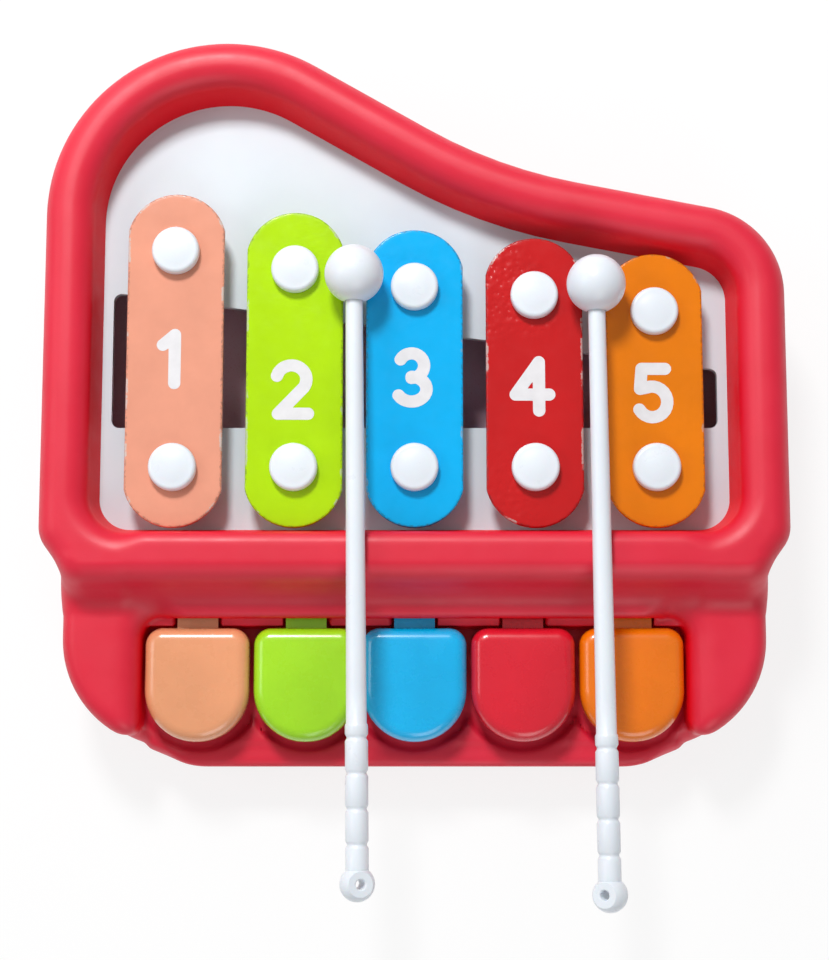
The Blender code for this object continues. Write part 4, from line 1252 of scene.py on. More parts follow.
    def build(self, red: bpy.types.Material) -> None:
        """Make the casing and let it stand for the CAD node.

        Args:
            red: Its finish.
        """
        axes = [np.arange(start, end, self.grid) for start, end in zip(self.room_low, self.room_high)]
        x, y, z = np.meshgrid(*axes, indexing="ij", sparse=True)
        plan = self.measure(*np.broadcast_arrays(x[:, :, 0], y[:, :, 0]))
        flats = {name: values[:, :, None] for name, values in plan.items()}
        walls = np.maximum(self.shell(flats, x, y, z), self.base_z - z)
        values = np.broadcast_to(walls, tuple(len(axis) for axis in axes))
        points, faces = surface_net(values.astype(np.float32), self.room_low, self.grid)
        for _ in range(self.settling_rounds):
            points = self.settle(points)
        mesh = bpy.data.meshes.new("casing_shell")
        mesh.from_pydata(points.tolist(), [], faces.tolist())
        mesh.update()
        work = bmesh.new()
        work.from_mesh(self.thin_inside(points, mesh))
        piece = mesh_piece("casing_shell", work, 50)
        self.mark_painted_shade(piece.data)
        dress(piece, red, CASING, ["housing"])

    def thin_inside(self, points: np.ndarray, mesh: bpy.types.Mesh) -> bpy.types.Mesh:
        """Take faces off the wall's hidden inner side.

        Args:
            points: The points of the mesh.
            mesh: The casing's mesh.

        Returns:
            A lighter mesh, with the outer side as it was.
        """
        guide = add_object("casing_guide", mesh)
        x, y, z = points.T
        deep = self.framed(self.measure(x, y), x, y, z) < -self.deep_share * self.wall
        inside = guide.vertex_groups.new(name="inside")
        inside.add(np.flatnonzero(deep).tolist(), 1, "REPLACE")
        thinner = guide.modifiers.new("inside", "DECIMATE")
        thinner.ratio = self.kept_share
        thinner.vertex_group = inside.name
        thinner.vertex_group_factor = self.outer_weight
        return plain_mesh(guide)

    def mark_painted_shade(self, mesh: bpy.types.Mesh) -> None:
        """Mark the steep walls round the window and in the key recess for painted shade: a deeper colour with
        less gloss.

        Args:
            mesh: The casing's mesh.
        """
        places = np.zeros(3 * len(mesh.vertices))
        normals = np.zeros_like(places)
        mesh.vertices.foreach_get("co", places)
        mesh.vertices.foreach_get("normal", normals)
        x, y, _ = places.reshape(-1, 3).T
        plan = self.measure(x, y)
        steep = 1 - eased(normals[2::3], *self.steep_span)
        by_window = 1 - eased(plan["window"], *self.window_span)
        in_recess = 1 - eased(plan["recess"], *self.recess_span)
        in_recess *= 1 - eased(np.minimum(plan["keyboard"], plan["lip"]), *self.edge_span)
        marked = steep * np.maximum(by_window, in_recess)
        # The mark carries the painted shade on these walls.
        mesh.attributes.new("painted_light", "FLOAT", "POINT").data.foreach_set("value", marked.astype(np.float32))

    def measure(self, x: np.ndarray, y: np.ndarray) -> dict[str, np.ndarray]:
        """Measure how far places lie from each outline.

        Args:
            x: Places along X.
            y: Places along Y.

        Returns:
            Distances by the outline's name, negative inside.
        """
        outlines = {
            "rim": self.rim(),
            "window": self.window(),
            "keyboard": self.keyboard(),
            "lip": self.lip(),
            "recess": self.recess(),
        }
        flats = {name: outline.distance(x, y) for name, outline in outlines.items()}
        keys = Keys()
        flats["keys"] = keys.cap_outline().distance(x - nearest_key(x), y - keys.axle_y)
        return flats

    def settle(self, points: np.ndarray) -> np.ndarray:
        """Move points of the skin onto it, and those at its foot onto the edge of the foot.

        Args:
            points: The points.

        Returns:
            The points, each moved by at most a third of the grid along each axis.
        """
        foot = points[:, 2] < self.base_z + self.foot_share * self.grid
        points = points.copy()
        points[foot, 2] = self.base_z
        moves = [np.zeros(3), *(np.eye(3) * self.probe)]
        measured = []
        for move in moves:
            x, y, z = (points + move).T
            measured.append(self.shell(self.measure(x, y), x, y, z))
        slope = np.stack([(value - measured[0]) / self.probe for value in measured[1:]], 1)
        slope[foot, 2] = 0
        slope[foot & (np.abs(measured[0]) > self.far_share * self.grid)] = 0
        size = np.maximum((slope ** 2).sum(1), self.least_slope)
        moved = -measured[0][:, None] * slope / size[:, None]
        return points + np.clip(moved, -self.grid / 3, self.grid / 3)


# Bars

@dataclass
class Numerals:
    """Plain rounded numerals on the bars, each a thin closed layer of ink."""

    height: float = 18.5 * MM
    pen: float = 3.8 * MM
    level: float = 41.5 * MM
    thickness: float = 0.06 * MM
    sink: float = 0.03 * MM
    grid: float = 0.25 * MM
    half_room: float = 12.025 * MM
    arc_points: int = 19
    settling_rounds: int = 3
    probe: float = 0.0125 * MM
    aside: float = -0.9 * MM
    middles: tuple[float, ...] = (32.7 * MM, 23.1 * MM, 26.9 * MM, 24.1 * MM, 22.0 * MM)

    def arc(self, middle: Span, reach: Span, turn: Span) -> list[tuple[float, float]]:
        """Draw part of an oval.

        Args:
            middle: Its middle.
            reach: Half of its width and of its height.
            turn: Degrees where it starts and ends, anticlockwise from the right.

        Returns:
            Its points.
        """
        angles = np.radians(np.linspace(turn[0], turn[1], self.arc_points))
        return [(middle[0] + reach[0] * math.cos(a), middle[1] + reach[1] * math.sin(a)) for a in angles]

    def lines(self, index: int) -> list[list[tuple[float, float]]]:
        """List the pen strokes of a numeral.

        Args:
            index: The numeral.

        Returns:
            Lines of points, in shares of its height about its middle.
        """
        bowl = self.arc((0, -0.15), (0.25, 0.26), (112, -150))
        drawn = {
            1: [[(-0.15, 0.24), (0.05, 0.41), (0.05, -0.41)]],
            2: [[*self.arc((0, 0.17), (0.25, 0.24), (165, -35)), (-0.22, -0.41), (0.28, -0.41)]],
            3: [
                self.arc((0, 0.20), (0.21, 0.21), (150, -90)),
                self.arc((0, -0.20), (0.25, 0.21), (90, -150)),
            ],
            4: [[(0.12, -0.41), (0.12, 0.41), (-0.27, -0.14), (0.29, -0.14)]],
            5: [[(0.22, 0.41), (-0.17, 0.41), (-0.20, 0.07), *bowl]],
        }
        return drawn[index]

    def distance(self, index: int, x: np.ndarray, y: np.ndarray) -> np.ndarray:
        """Measure how far places lie from the ink.

        Args:
            index: The numeral.
            x: Places along X about its middle.
            y: Places along Y about its middle.

        Returns:
            Distances, negative inside.
        """
        nearest = np.full(x.shape, np.inf)
        for line in self.lines(index):
            points = np.array(line) * self.height
            for (x0, y0), (dx, dy) in zip(points[:-1], np.diff(points, axis=0)):
                along = np.clip(((x - x0) * dx + (y - y0) * dy) / (dx * dx + dy * dy), 0, 1)
                nearest = np.minimum(nearest, np.hypot(x - x0 - along * dx, y - y0 - along * dy))
        return nearest - self.pen / 2

    def stamp(self, work: bmesh.types.BMesh, note: Note, middle_y: float) -> None:
        """Print one numeral.

        Args:
            work: The bmesh to add to.
            note: Whose numeral it is.
            middle_y: Its middle along Y.
        """
        ticks = np.arange(-self.half_room, self.half_room, self.grid)
        x, y = np.meshgrid(ticks, ticks, indexing="ij")
        middles = ticks[:-1] + self.grid / 2
        inked = self.distance(note.index, *np.meshgrid(middles, middles, indexing="ij")) < 0
        around = np.zeros(x.shape, int)
        for first in (slice(0, -1), slice(1, None)):
            for second in (slice(0, -1), slice(1, None)):
                around[first, second] += inked
        border = (around > 0) & (around < 4)
        for _ in range(self.settling_rounds):
            here = self.distance(note.index, x, y)
            slope_x = (self.distance(note.index, x + self.probe, y) - here) / self.probe
            slope_y = (self.distance(note.index, x, y + self.probe) - here) / self.probe
            x, y = x - border * here * slope_x, y - border * here * slope_y
        top, bottom = {}, {}
        for i, j in np.argwhere(around > 0):
            place = (note.bar_x + self.aside + x[i, j], middle_y + y[i, j])
            top[i, j] = work.verts.new((*place, self.level + self.thickness))
            bottom[i, j] = work.verts.new((*place, self.level - self.sink))
        for i, j in np.argwhere(inked):
            ring = [(i, j), (i + 1, j), (i + 1, j + 1), (i, j + 1)]
            beside = (inked[i, j - 1], inked[i + 1, j], inked[i, j + 1], inked[i - 1, j])
            work.faces.new([top[corner] for corner in ring])
            work.faces.new([bottom[corner] for corner in reversed(ring)])
            for joined, first, second in zip(beside, ring, [*ring[1:], ring[0]]):
                if not joined:
                    work.faces.new((bottom[first], bottom[second], top[second], top[first]))

    def build(self) -> None:
        """Print the five numerals as one piece."""
        work = bmesh.new()
        for note, middle_y in zip(NOTES, self.middles):
            self.stamp(work, note, middle_y)
        dress(mesh_piece("numerals", work, 30), PrintedInk().build(), CASING, [])


@dataclass
class Bars:
    """Five painted bars, and the pins and pads that hold them."""

    front_y: float = -19.7785 * MM
    width: float = 30 * MM
    end_rise: float = 11.8 * MM
    low_z: float = 39.5 * MM
    thickness: float = 2 * MM
    edge: float = 0.55 * MM
    rim: float = 1.5 * MM
    end_steps: int = 48
    pin_inset: float = 18.5 * MM
    cap_radius: float = 7.35 * MM
    cap_height: float = 4 * MM
    cap_round: float = 1.3 * MM
    dome: float = 0.75 * MM
    dome_share: float = 0.82
    stem_radius: float = 1.9 * MM
    stem_length: float = 13.8 * MM
    pad_radius: float = 6 * MM
    pad_bore: float = 2.2 * MM
    pad_height: float = 1.7 * MM
    pad_round: float = 0.3 * MM

    def outline(self, length: float, edge: float) -> list[Vector]:
        """Draw a bar about its middle.

        Args:
            length: The bar's length.
            edge: How far the outline is drawn in.

        Returns:
            Its points, anticlockwise.
        """
        half = self.width / 2
        radius = (half ** 2 + self.end_rise ** 2) / (2 * self.end_rise)
        spread = math.asin(half / radius)
        reach = length / 2 - radius
        points = []
        for heading in (math.pi / 2, -math.pi / 2):
            for step in range(self.end_steps + 1):
                angle = heading - spread + 2 * spread * step / self.end_steps
                x = (radius - edge) * math.cos(angle)
                y = math.copysign(reach, heading) + (radius - edge) * math.sin(angle)
                points.append(Vector((max(min(x, half - edge), edge - half), y)))
        return points

    def bar(self, note: Note) -> bpy.types.Object:
        """Make one bar with rounded edges, whose edge attribute fades inwards.

        Args:
            note: Whose bar it is.

        Returns:
            The bar.
        """
        work = bmesh.new()
        worn = work.verts.layers.float.new("edge")
        top = self.low_z + self.thickness
        upper = [(inset, z, 1.0) for inset, z in quarter(self.edge, top, 5)]
        lower = [(inset, self.low_z + top - z, 1.0) for inset, z in reversed(quarter(self.edge, top, 3))]
        levels = [*lower, *upper, (self.rim, top, 0.0), (2 * self.rim, top, 0.0)]
        middle = self.front_y + note.bar_length / 2
        rings = []
        for inset, z, _ in levels:
            outline = self.outline(note.bar_length, inset)
            rings.append([(note.bar_x + point.x, middle + point.y, z) for point in outline])
        loft(work, rings)
        count = len(rings[0])
        work.verts.ensure_lookup_table()
        for number, vert in enumerate(work.verts):
            vert[worn] = levels[number // count][2]
        return mesh_piece(f"bar_{note.index}", work, 50)

    def pin_places(self) -> list[Point3]:
        """List where the pins go through the bars.

        Returns:
            The places on the bars' tops, first those in front.
        """
        z = self.low_z + self.thickness + SEAT_GAP
        front = [(note.bar_x, self.front_y + self.pin_inset, z) for note in NOTES]
        rear = [(note.bar_x, self.front_y + note.bar_length - self.pin_inset, z) for note in NOTES]
        return front + rear

    def pin(self) -> bpy.types.Object:
        """Make one domed pin with its stem.

        Returns:
            The pin, with its cap on height zero.
        """
        radius, height = self.cap_radius, self.cap_height
        shares = (0, 0.25, 0.5, 0.75, 1.0)
        crown = [(radius * self.dome_share * share, height - self.dome * share ** 2) for share in shares]
        edge = [(radius - inset, z) for inset, z in reversed(quarter(self.cap_round, height - self.dome, 6))]
        foot = [(radius, BROKEN_EDGE), (radius - BROKEN_EDGE, 0)]
        stem = [(self.stem_radius, 0), (self.stem_radius, -self.stem_length), (0, -self.stem_length)]
        return turned_piece("pin_pattern", [*crown, *edge, *foot, *stem], 56)

    def pad(self) -> bpy.types.Object:
        """Make one soft ring.

        Returns:
            The ring, standing on height zero.
        """
        bore, radius, height, edge = self.pad_bore, self.pad_radius, self.pad_height, self.pad_round
        ring = [(bore, height), (radius - edge, height), (radius, height - edge), (radius, 0), (bore, 0)]
        return turned_piece("pad_pattern", ring, 40)

    def build(self, white: bpy.types.Material, foam: bpy.types.Material) -> None:
        """Make bars, pins and pads.

        Args:
            white: Finish of the pins.
            foam: Finish of the pads.
        """
        for note in NOTES:
            paint = BarPaint(note.paint_slot, note.paint, note.chips, note.crinkle).build()
            dress(self.bar(note), paint, CASING, [f"tone_bar_{note.index}"])
        scatter = Scatter("pieces_at_points").build()
        rows = [f"{row}_{note.index}" for row in ("front", "rear") for note in NOTES]
        drop = self.thickness + 2 * SEAT_GAP + self.pad_height
        on_bars = self.pin_places()
        under_bars = [(x, y, z - drop) for x, y, z in on_bars]
        kinds = (
            ("bar_pin", self.pin(), on_bars, white, Slot.WHITE, 3),
            ("bar_pad", self.pad(), under_bars, foam, Slot.FOAM, 5),
        )
        for kind, pattern, places, finish, slot, seed in kinds:
            values = {"Piece": pattern, "Finish": finish, "Turn": 0.0, "Seed": seed}
            pieces = run_tree(f"{kind}s", scatter, places, values)
            dress(pieces, None, CASING, [f"{kind}_{row}" for row in rows])
            bpy.data.objects.remove(pattern, do_unlink=True)


# Keys

@dataclass
class Keys:
    """Five key caps with their levers, hammer heads and springs.

    Arm and tail are side views of a lever, in millimetres from its axle.
    """

    axle_y: float = -37.1785 * MM
    axle_z: float = 24 * MM
    width: float = 32.3 * MM
    length: float = 35.1 * MM
    behind: float = 12.3 * MM
    top: float = 7 * MM
    height: float = 7.7 * MM
    edge: float = 4 * MM
    corner: float = 5.5 * MM
    nose_share: float = 0.495
    crown_levels: Profile = ((6.5 * MM, -0.12 * MM), (10 * MM, 0.0))
    wall: float = 1.8 * MM
    arm: Profile = ((-17.8, 2.0), (-6.8, 2.0), (-3.4, 0.3), (-1.2, 0.8), (-1.7, 3.4), (-17.8, 3.4))
    half_arm: float = 6.3 * MM
    tail: Profile = (
        (1.9, -1.6), (50, -5.84), (64.2, -5.84), (65.2, -5.3),
        (65.2, -3.2), (64.2, -2.64), (50, -2.64), (1.9, 1.6),
    )
    half_tail: float = 4 * MM
    tail_reach: float = 61.2 * MM
    hub_radius: float = 3.4 * MM
    hub_bore: float = 1.75 * MM
    half_hub: float = 14.925 * MM
    hub_sides: int = 40
    post_radius: float = 3.7 * MM
    post_foot: float = -4 * MM
    peg_radius: float = 1.5 * MM
    peg_height: float = 3.5 * MM
    peg_point: float = 0.2 * MM
    head_top: float = 7.146 * MM
    head_height: float = 6 * MM
    head_radius: float = 4.5 * MM
    head_round: float = 1.8 * MM
    head_bore: Span = (1.8 * MM, 3.8 * MM)
    spring_y: float = -68.4285 * MM
    spring_span: Span = (17.3 * MM, 28.9 * MM)
    spring_radius: float = 3.2 * MM
    spring_turns: float = 4.0
    spring_wire: float = 0.35 * MM

    def cap_outline(self) -> Outline:
        """Draw a key cap, round at the front, about the axle.

        Returns:
            The outline.
        """
        half, nose = self.width / 2, self.nose_share * self.width
        back, front = -self.behind, -self.behind - self.length
        rear = ((half, back, self.corner), (-half, back, self.corner))
        return Outline((*rear, (-half, front, nose), (half, front, nose)))

    def crown(self, work: bmesh.types.BMesh) -> None:
        """Add the hollow cap, with its top very slightly crowned.

        Args:
            work: The bmesh to add to.
        """
        low = self.top - self.height
        inner = [(self.edge, self.top - self.wall), (self.wall, self.top - self.edge), (self.wall, low)]
        outer = [(BROKEN_EDGE, low), (0, low + BROKEN_EDGE), *quarter(self.edge, self.top - BROKEN_EDGE, 8)]
        crown = [(inset, self.top + rise) for inset, rise in self.crown_levels]
        outline = self.cap_outline()
        rings = []
        for inset, z in [*inner, *outer, *crown]:
            rings.append([(point.x, point.y, z) for point in outline.inset(inset).points()])
        loft(work, rings)

    def lever(self, work: bmesh.types.BMesh, shift: float) -> None:
        """Add arm, hub and tail.

        Args:
            work: The bmesh to add to.
            shift: How far the tail leans along X by the time it is under the bar.
        """
        parts = ((self.arm, self.half_arm, 0.0), (self.tail, self.half_tail, shift / self.tail_reach))
        for points, half, lean in parts:
            sides = []
            for x in (half, -half):
                sides.append([(x + lean * y * MM, y * MM, z * MM) for y, z in points])
            loft(work, sides)
        self.hub(work)

    def hub(self, work: bmesh.types.BMesh) -> None:
        """Add the bored hub, with its open bore round the axle.

        Args:
            work: The bmesh to add to.
        """
        outer, bore, reach = self.hub_radius, self.hub_bore, self.half_hub
        rings = []
        for radius, x in ((outer, -reach), (outer, reach), (bore, reach), (bore, -reach)):
            angles = [math.tau * step / self.hub_sides for step in range(self.hub_sides)]
            rings.append([(x, radius * math.cos(a), radius * math.sin(a)) for a in angles])
        loft(work, rings, closed=True)

    def post(self, work: bmesh.types.BMesh) -> None:
        """Add the post that carries the hammer head, with its peg.

        Args:
            work: The bmesh to add to.
        """
        seat = self.head_top - self.head_height - SEAT_GAP
        radius, foot = self.post_radius, self.post_foot
        turn(work, [(0, seat), (radius, seat), (radius, foot), (0, foot)], 40)
        peg, tip, root = self.peg_radius, seat + self.peg_height, seat - MM
        turn(work, [(0, tip), (peg, tip - self.peg_point), (peg, root), (0, root)], 24)

    def key(self, note: Note) -> bpy.types.Object:
        """Make one key in its place.

        Args:
            note: Whose key it is.

        Returns:
            The key with its lever.
        """
        work = bmesh.new()
        shift = note.bar_x - note.key_x
        self.crown(work)
        self.lever(work, shift)
        start = len(work.verts)
        self.post(work)
        work.verts.ensure_lookup_table()
        bmesh.ops.translate(work, verts=work.verts[start:], vec=(shift, self.tail_reach, 0))
        bmesh.ops.translate(work, verts=work.verts, vec=(note.key_x, self.axle_y, self.axle_z))
        return mesh_piece(f"piano_key_{note.index}", work, 45)

    def head(self, note: Note) -> bpy.types.Object:
        """Make one hammer head in its place.

        Args:
            note: Whose bar it strikes.

        Returns:
            The hammer head.
        """
        work = bmesh.new()
        radius, height = self.head_radius, self.head_height
        edge = [(radius - inset, z) for inset, z in reversed(quarter(self.head_round, height, 6))]
        bore, depth = self.head_bore
        turn(work, [(0, height), *edge, (radius, 0), (bore, 0), (bore, depth), (0, depth)], 40)
        z = self.axle_z + self.head_top - height
        bmesh.ops.translate(work, verts=work.verts, vec=(note.bar_x, self.axle_y + self.tail_reach, z))
        return mesh_piece(f"striker_{note.index}", work)

    def build(self, white: bpy.types.Material, steel: bpy.types.Material) -> None:
        """Make keys, hammer heads and springs.

        Args:
            white: Finish of the hammer heads.
            steel: Finish of the springs.
        """
        coil = Coil("wound_spring").build()
        wire, (low, high) = self.spring_wire, self.spring_span
        sizes = {"Turns": self.spring_turns, "Radius": self.spring_radius, "Height": high - low - 2 * wire}
        sizes |= {"Wire": wire, "Finish": steel}
        for note in NOTES:
            body = f"lever_{note.index}"
            shade = tuple(0.92 * channel for channel in note.plastic)
            plastic = MouldedPlastic(
                note.plastic_slot, note.plastic, shade,
                roughness=0.27, texture_depth=0.012 * MM, glow=0.05, coat=0.9, specular=0.35,
            ).build()
            dress(self.key(note), plastic, body, [f"key_{note.index}"])
            dress(self.head(note), white, body, [f"hammer_head_{note.index}"])
            place = (note.key_x, self.spring_y, low + wire)
            spring = run_tree(f"return_spring_{note.index}", coil, [(0, 0, 0)], sizes, place)
            dress(spring, None, CASING, [f"key_spring_{note.index}"])
            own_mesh(spring)


# Mallets

@dataclass
class Mallet:
    """One mallet: a ball on a tapering shaft with a ribbed grip and an eye.

    The groove is listed in millimetres along the grip and into it; hole is the eye's radius at its mouth and
    within; socket is the radius and depth of the ball's.
    """

    side: str
    ball: Point3
    yaw: float
    roll: float
    rest_y: float = -28.2785 * MM
    rest_z: float = 47.8 * MM
    ball_radius: float = 9.05 * MM
    length: float = 183.5 * MM
    thin: float = 2.6 * MM
    thick: float = 3.1 * MM
    shaft_steps: int = 12
    grip: float = 3.45 * MM
    grip_length: float = 41.5 * MM
    grip_parts: int = 4
    groove: Profile = ((-1.1, 0), (-0.6, 0.25), (-0.25, 0.5), (0.25, 0.5), (0.6, 0.25), (1.1, 0))
    groove_share: float = 0.41
    end_inset: float = 2.4 * MM
    end_round: float = 0.6 * MM
    eye_radius: float = 5.25 * MM
    half_eye: float = 3.7 * MM
    hole: Span = (1.8 * MM, 1.5 * MM)
    hole_round: float = 0.3 * MM
    socket: Span = (2.9 * MM, 3.3 * MM)

    @property
    def grip_start(self) -> float:
        """Distance from the ball's middle to the grip."""
        return self.length - self.eye_radius - self.grip_length

    @property
    def pitch(self) -> float:
        """How steeply the shaft runs up from the ball to the band, on which it rests.

        Returns:
            The angle, negative where the ball lies higher.
        """
        run = self.ball[1] - self.rest_y
        radius = self.thin + (self.thick - self.thin) * run / self.grip_start
        return math.atan2(self.rest_z + radius - self.ball[2], run)

    def lay(self, work: bmesh.types.BMesh) -> None:
        """Turn a piece drawn along Z about the ball into its resting place.

        Args:
            work: The bmesh with the piece.
        """
        along = Matrix.Rotation(-math.pi / 2, 4, "X")
        turned = Matrix.Rotation(self.yaw, 4, "Z") @ Matrix.Rotation(-self.pitch, 4, "X")
        bmesh.ops.transform(work, matrix=Matrix.Translation(self.ball) @ turned @ along, verts=work.verts)

    def shaft(self) -> bpy.types.Object:
        """Make the shaft with its grip and eye.

        Returns:
            The shaft.
        """
        work = bmesh.new()
        start, grip, depth = self.grip_start, self.grip, self.socket[1] - 0.3 * MM
        profile = [(0, depth), (self.thin, depth)]
        for step in range(self.shaft_steps + 1):
            share = step / self.shaft_steps
            profile.append((self.thin + (self.thick - self.thin) * share, -MM - (start - MM) * share))
        profile += [(grip - 0.1 * MM, -start - 0.4 * MM), (grip, -start - 0.9 * MM)]
        for number in range(self.grip_parts):
            middle = start + self.grip_length / self.grip_parts * (number + self.groove_share)
            profile += [(grip - sunk * MM, -middle - offset * MM) for offset, sunk in self.groove]
        end = self.length - self.end_inset
        profile += [(grip, self.end_round - end), (grip - self.end_round, -end), (0, -end)]
        turn(work, profile, 40)
        self.eye(work)
        self.lay(work)
        return mesh_piece(f"mallet_shaft_{self.side}", work)

    def eye(self, work: bmesh.types.BMesh) -> None:
        """Add the eye, a ball with two flats and a hole.

        Args:
            work: The bmesh to add to.
        """
        start = len(work.verts)
        half = self.half_eye
        mouth, bore = self.hole
        spread = math.asin(half / self.eye_radius)
        angles = [spread - 2 * spread * step / 16 for step in range(17)]
        rim = [(self.eye_radius * math.cos(a), self.eye_radius * math.sin(a)) for a in angles]
        inside = [(bore, -half + self.hole_round), (bore, half - self.hole_round)]
        turn(work, [(mouth, half), *rim, (mouth, -half), *inside], 40)
        work.verts.ensure_lookup_table()
        turned = Matrix.Rotation(self.roll, 4, "Z") @ Matrix.Rotation(math.pi / 2, 4, "X")
        placed = Matrix.Translation((0, 0, -self.length)) @ turned
        bmesh.ops.transform(work, matrix=placed, verts=work.verts[start:])

    def head(self) -> bpy.types.Object:
        """Make the ball with its blind socket.

        Returns:
            The ball.
        """
        work = bmesh.new()
        radius, steps = self.ball_radius, 40
        bore, depth = self.socket
        first = math.asin(bore / radius)
        angles = [math.pi - (math.pi - first) * step / steps for step in range(steps + 1)]
        skin = [(radius * math.sin(a), -radius * math.cos(a)) for a in angles]
        turn(work, [*skin, (bore, depth), (0, depth)], 56)
        self.lay(work)
        return mesh_piece(f"mallet_ball_{self.side}", work)

    def build(self, white: bpy.types.Material) -> None:
        """Make the mallet's two pieces.

        Args:
            white: Their finish.
        """
        body = f"mallet_{self.side}"
        dress(self.shaft(), white, body, [f"mallet_{self.side}_handle"])
        dress(self.head(), white, body, [f"mallet_{self.side}_head"])


# Underside

@dataclass
class Fastenings:
    """Screws and feet under the toy. Root, crest, head and sole are in millimetres."""

    threads: int = 8
    root: float = 0.95
    crest: float = 1.2
    head: Profile = ((2.7, 0), (2.7, -0.7), (2.3, -1.1), (1.9, -1.2), (0, -1.2))
    head_height: float = 1.2 * MM
    sole: Profile = ((0, 1.2), (6, 1.2), (5.75, 0.2), (5.4, 0), (0, 0))

    def screw(self) -> bpy.types.Object:
        """Make a screw that points up, with its head under height zero.

        Returns:
            The screw.
        """
        work = bmesh.new()
        thread = []
        for base in range(self.threads, 0, -1):
            thread += [(self.root, base), (self.crest, base - 0.35), (self.crest, base - 0.5)]
        profile = [(0, self.threads + 1), *thread, (self.crest, 0), *self.head]
        turn(work, [(radius * MM, z * MM) for radius, z in profile], 32)
        return mesh_piece("screw_pattern", work, 30)

    def build(self, frame_nodes: Sequence[str], steel: bpy.types.Material, rubber: bpy.types.Material) -> None:
        """Make every screw and foot where its CAD node is.

        Args:
            frame_nodes: Names of the CAD nodes.
            steel: Finish of the screws.
            rubber: Finish of the feet.
        """
        scatter = Scatter("fastenings_at_points").build()
        screw = self.screw()
        foot = turned_piece("foot_pattern", [(radius * MM, z * MM) for radius, z in self.sole])
        kinds = (
            ("cover_screw", screw, self.head_height, steel, Slot.STEEL),
            ("deck_screw", screw, self.head_height, steel, Slot.STEEL),
            ("foot", foot, 0.0, rubber, Slot.RUBBER),
        )
        for kind, pattern, lift, finish, slot in kinds:
            nodes = [name for name in frame_nodes if name.startswith(f"{kind}_")]
            places = []
            for name in nodes:
                low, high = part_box(name)
                places.append(((low.x + high.x) / 2, (low.y + high.y) / 2, low.z + lift))
            values = {"Piece": pattern, "Finish": finish, "Turn": math.tau, "Seed": 11}
            piece = run_tree(f"{kind}s_made", scatter, places, values)
            dress(piece, None, CASING, nodes)
        bpy.data.objects.remove(screw, do_unlink=True)
        bpy.data.objects.remove(foot, do_unlink=True)


# Studio

@dataclass
class Studio:
    """Floor, lamps, world and camera."""

    target: Point3 = (0, -4.18 * MM, 35 * MM)
    distance: float = 600 * MM
    tilt: float = math.radians(8)
    lens: float = 72.6
    floor_size: float = 3
    floor_colour: Colour = (0.94, 0.94, 0.94)
    floor_glow: float = 0.82

    def floor(self) -> None:
        """Lay a white floor that keeps the toy's shadow."""
        mesh = bpy.data.meshes.new("floor")
        work = bmesh.new()
        bmesh.ops.create_grid(work, x_segments=1, y_segments=1, size=self.floor_size)
        work.to_mesh(mesh)
        work.free()
        floor = add_object("floor", mesh)
        shader = Shader("studio_floor")
        shader.set(Base_Color=(*self.floor_colour, 1), Roughness=0.9, Specular_IOR_Level=0.1)
        glow = shader.node("Emission", in_Strength=1.0)
        rays = shader.node("LightPath")
        blend = shader.node("MixShader")
        mirrored = shader.math("MAXIMUM", rays.outputs["Is Glossy Ray"], rays.outputs["Is Transmission Ray"])
        seen = shader.math("MAXIMUM", rays.outputs["Is Camera Ray"], mirrored)
        seen = shader.math("MULTIPLY", seen, self.floor_glow)
        shader.link(seen, blend.inputs[0])
        shader.link(shader.surface.outputs[0], blend.inputs[1])
        shader.link(glow.outputs[0], blend.inputs[2])
        output = next(node for node in shader.tree.nodes if node.type == "OUTPUT_MATERIAL")
        shader.link(blend.outputs[0], output.inputs["Surface"])
        mesh.materials.append(shader.material)
        floor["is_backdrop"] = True

    def lamp(
        self, name: str, azimuth: float, elevation: float, reach: float, size: float, power: float
    ) -> None:
        """Hang a square soft lamp that faces the toy.

        Args:
            name: The lamp's name.
            azimuth: Degrees from +X towards +Y.
            elevation: Degrees above the floor.
            reach: Distance from the toy.
            size: Width of the lamp.
            power: Its power in watts.
        """
        light = bpy.data.lights.new(name, "AREA")
        light.shape = "SQUARE"
        light.size = size
        light.energy = power
        lamp = add_object(name, light)
        around, up = math.radians(azimuth), math.radians(elevation)
        way = Vector((math.cos(up) * math.cos(around), math.cos(up) * math.sin(around), math.sin(up)))
        lamp.location = Vector(self.target) + way * reach
        lamp.rotation_euler = way.to_track_quat("Z", "Y").to_euler()

    def world(self, strength: float) -> None:
        """Fill the room with even light.

        Args:
            strength: How bright it is.
        """
        world = bpy.data.worlds.new("studio")
        world.use_nodes = True
        background = world.node_tree.nodes["Background"]
        background.inputs["Color"].default_value = (1, 1, 1, 1)
        background.inputs["Strength"].default_value = strength
        bpy.context.scene.world = world

    def camera(self) -> None:
        """Stand the camera almost straight above the toy, a little to the front."""
        data = bpy.data.cameras.new("camera")
        data.lens = self.lens
        camera = add_object("camera", data)
        back = Vector((0, -math.sin(self.tilt), math.cos(self.tilt)))
        camera.location = Vector(self.target) + back * self.distance
        camera.rotation_euler = (self.tilt, 0, 0)
        bpy.context.scene.camera = camera

    def build(self) -> None:
        """Set the studio up."""
        self.camera()
        self.floor()
        self.world(0.30)
        self.lamp("window_light", azimuth=107, elevation=50, reach=1.2, size=0.24, power=11.0)
        self.lamp("side_light", azimuth=172, elevation=38, reach=1.3, size=0.5, power=2.2)
        self.lamp("rear_light", azimuth=125, elevation=26, reach=1.4, size=0.8, power=2.4)
        self.lamp("front_light", azimuth=285, elevation=32, reach=1.5, size=0.8, power=5.0)
        bpy.context.scene.view_settings.view_transform = "Standard"


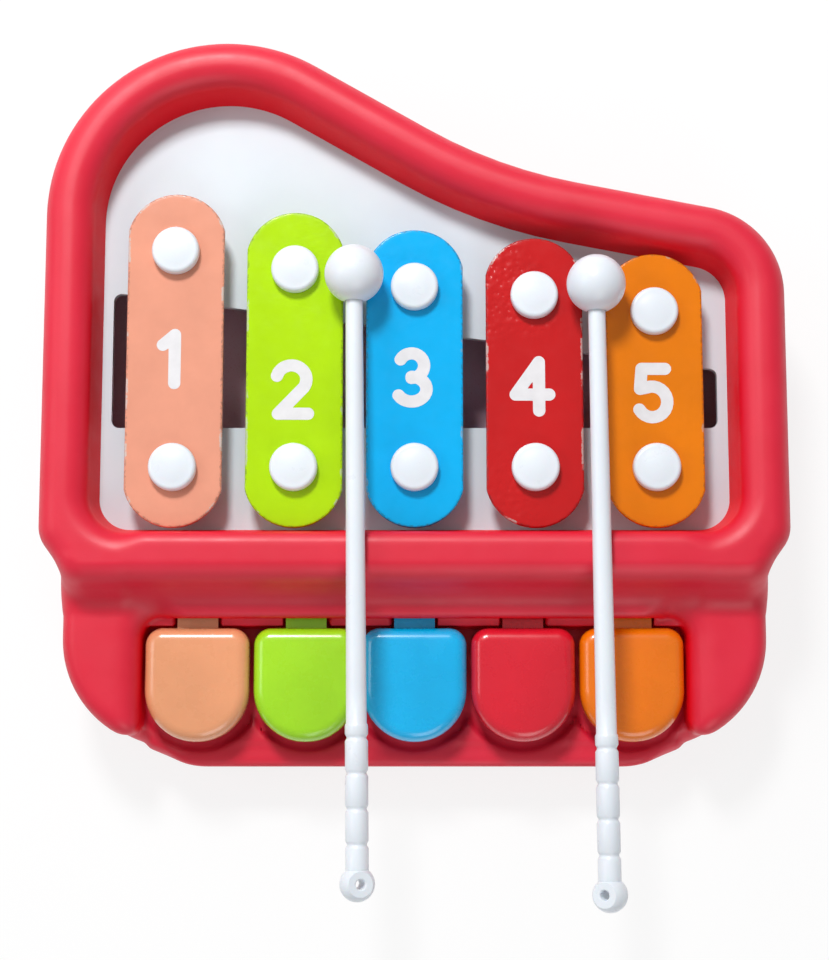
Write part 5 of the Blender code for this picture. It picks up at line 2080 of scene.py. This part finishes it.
def paint_node(frame: dict, name: str, finish: bpy.types.Material) -> None:
    """Give a CAD node that stays as it is its finish.

    Args:
        frame: The loaded frame.
        name: The node.
        finish: Its material.
    """
    mesh = frame["nodes"][name].data
    mesh.materials.clear()
    mesh.materials.append(finish)
    mesh.shade_smooth()
    mesh.set_sharp_from_angle(angle=math.radians(30))


def corners(box: Callable[[], object]) -> list[list[float]]:
    """Turn what gives a box into plain lists of its two corners."""
    return [[float(value) for value in corner] for corner in box()]


def main() -> None:
    """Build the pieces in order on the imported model."""
    logging.basicConfig(level=logging.INFO)
    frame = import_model()
    cad_box = corners(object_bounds)
    Studio().build()
    # The red gets painted shade, a deeper colour with less gloss, on the steep walls round the window and in
    # the key recess.
    red = MouldedPlastic(
        "red_moulding", (0.885, 0.125, 0.245), (0.850, 0.095, 0.205),
        roughness=0.46, texture_depth=0.03 * MM, glow=0.08, specular=0.58, painted_light=(0.93, 0.0, 0.10),
    ).build()
    # Inside, above its floor, the cover gets painted light: a paler colour for what shows through the deck's
    # slot.
    cover = MouldedPlastic(
        "cover_moulding", (0.80, 0.26, 0.34), (0.76, 0.22, 0.30),
        roughness=0.45, texture_depth=0.03 * MM, painted_light=(0.93, 0.78, 0.85), painted_light_z=3.6 * MM,
    ).build()
    white = MouldedPlastic(
        "white_moulding", (0.91, 0.935, 0.96), (0.885, 0.91, 0.94),
        roughness=0.3, texture_depth=0.015 * MM, glow=0.05,
    ).build()
    deck = MouldedPlastic(
        "deck_moulding", (0.85, 0.89, 0.915), (0.83, 0.87, 0.90),
        roughness=0.4, texture_depth=0.02 * MM, glow=0.03,
    ).build()
    steel = DrawnSteel().build()
    rubber = SoftPad("foot_rubber", (0.16, 0.16, 0.17), pore=0.4 * MM).build()
    foam = SoftPad("pad_foam", (0.9, 0.9, 0.88), pore=0.3 * MM).build()
    paint_node(frame, "deck", deck)
    paint_node(frame, "back_cover", cover)
    paint_node(frame, "key_axle", steel)
    Casing().build(red)
    Bars().build(white, foam)
    Numerals().build()
    Keys().build(white, steel)
    Fastenings().build(sorted(frame["nodes"]), steel, rubber)
    left = (-18.55 * MM, 57.5215 * MM, 50.15 * MM)
    right = (55.65 * MM, 54.4215 * MM, 50.15 * MM)
    Mallet("left", left, yaw=math.radians(0.55), roll=math.radians(18)).build(white)
    Mallet("right", right, yaw=math.radians(0.50), roll=math.radians(-33)).build(white)
    {"cad": cad_box, "scene": corners(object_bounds)}


if __name__ == "__main__":
    main()
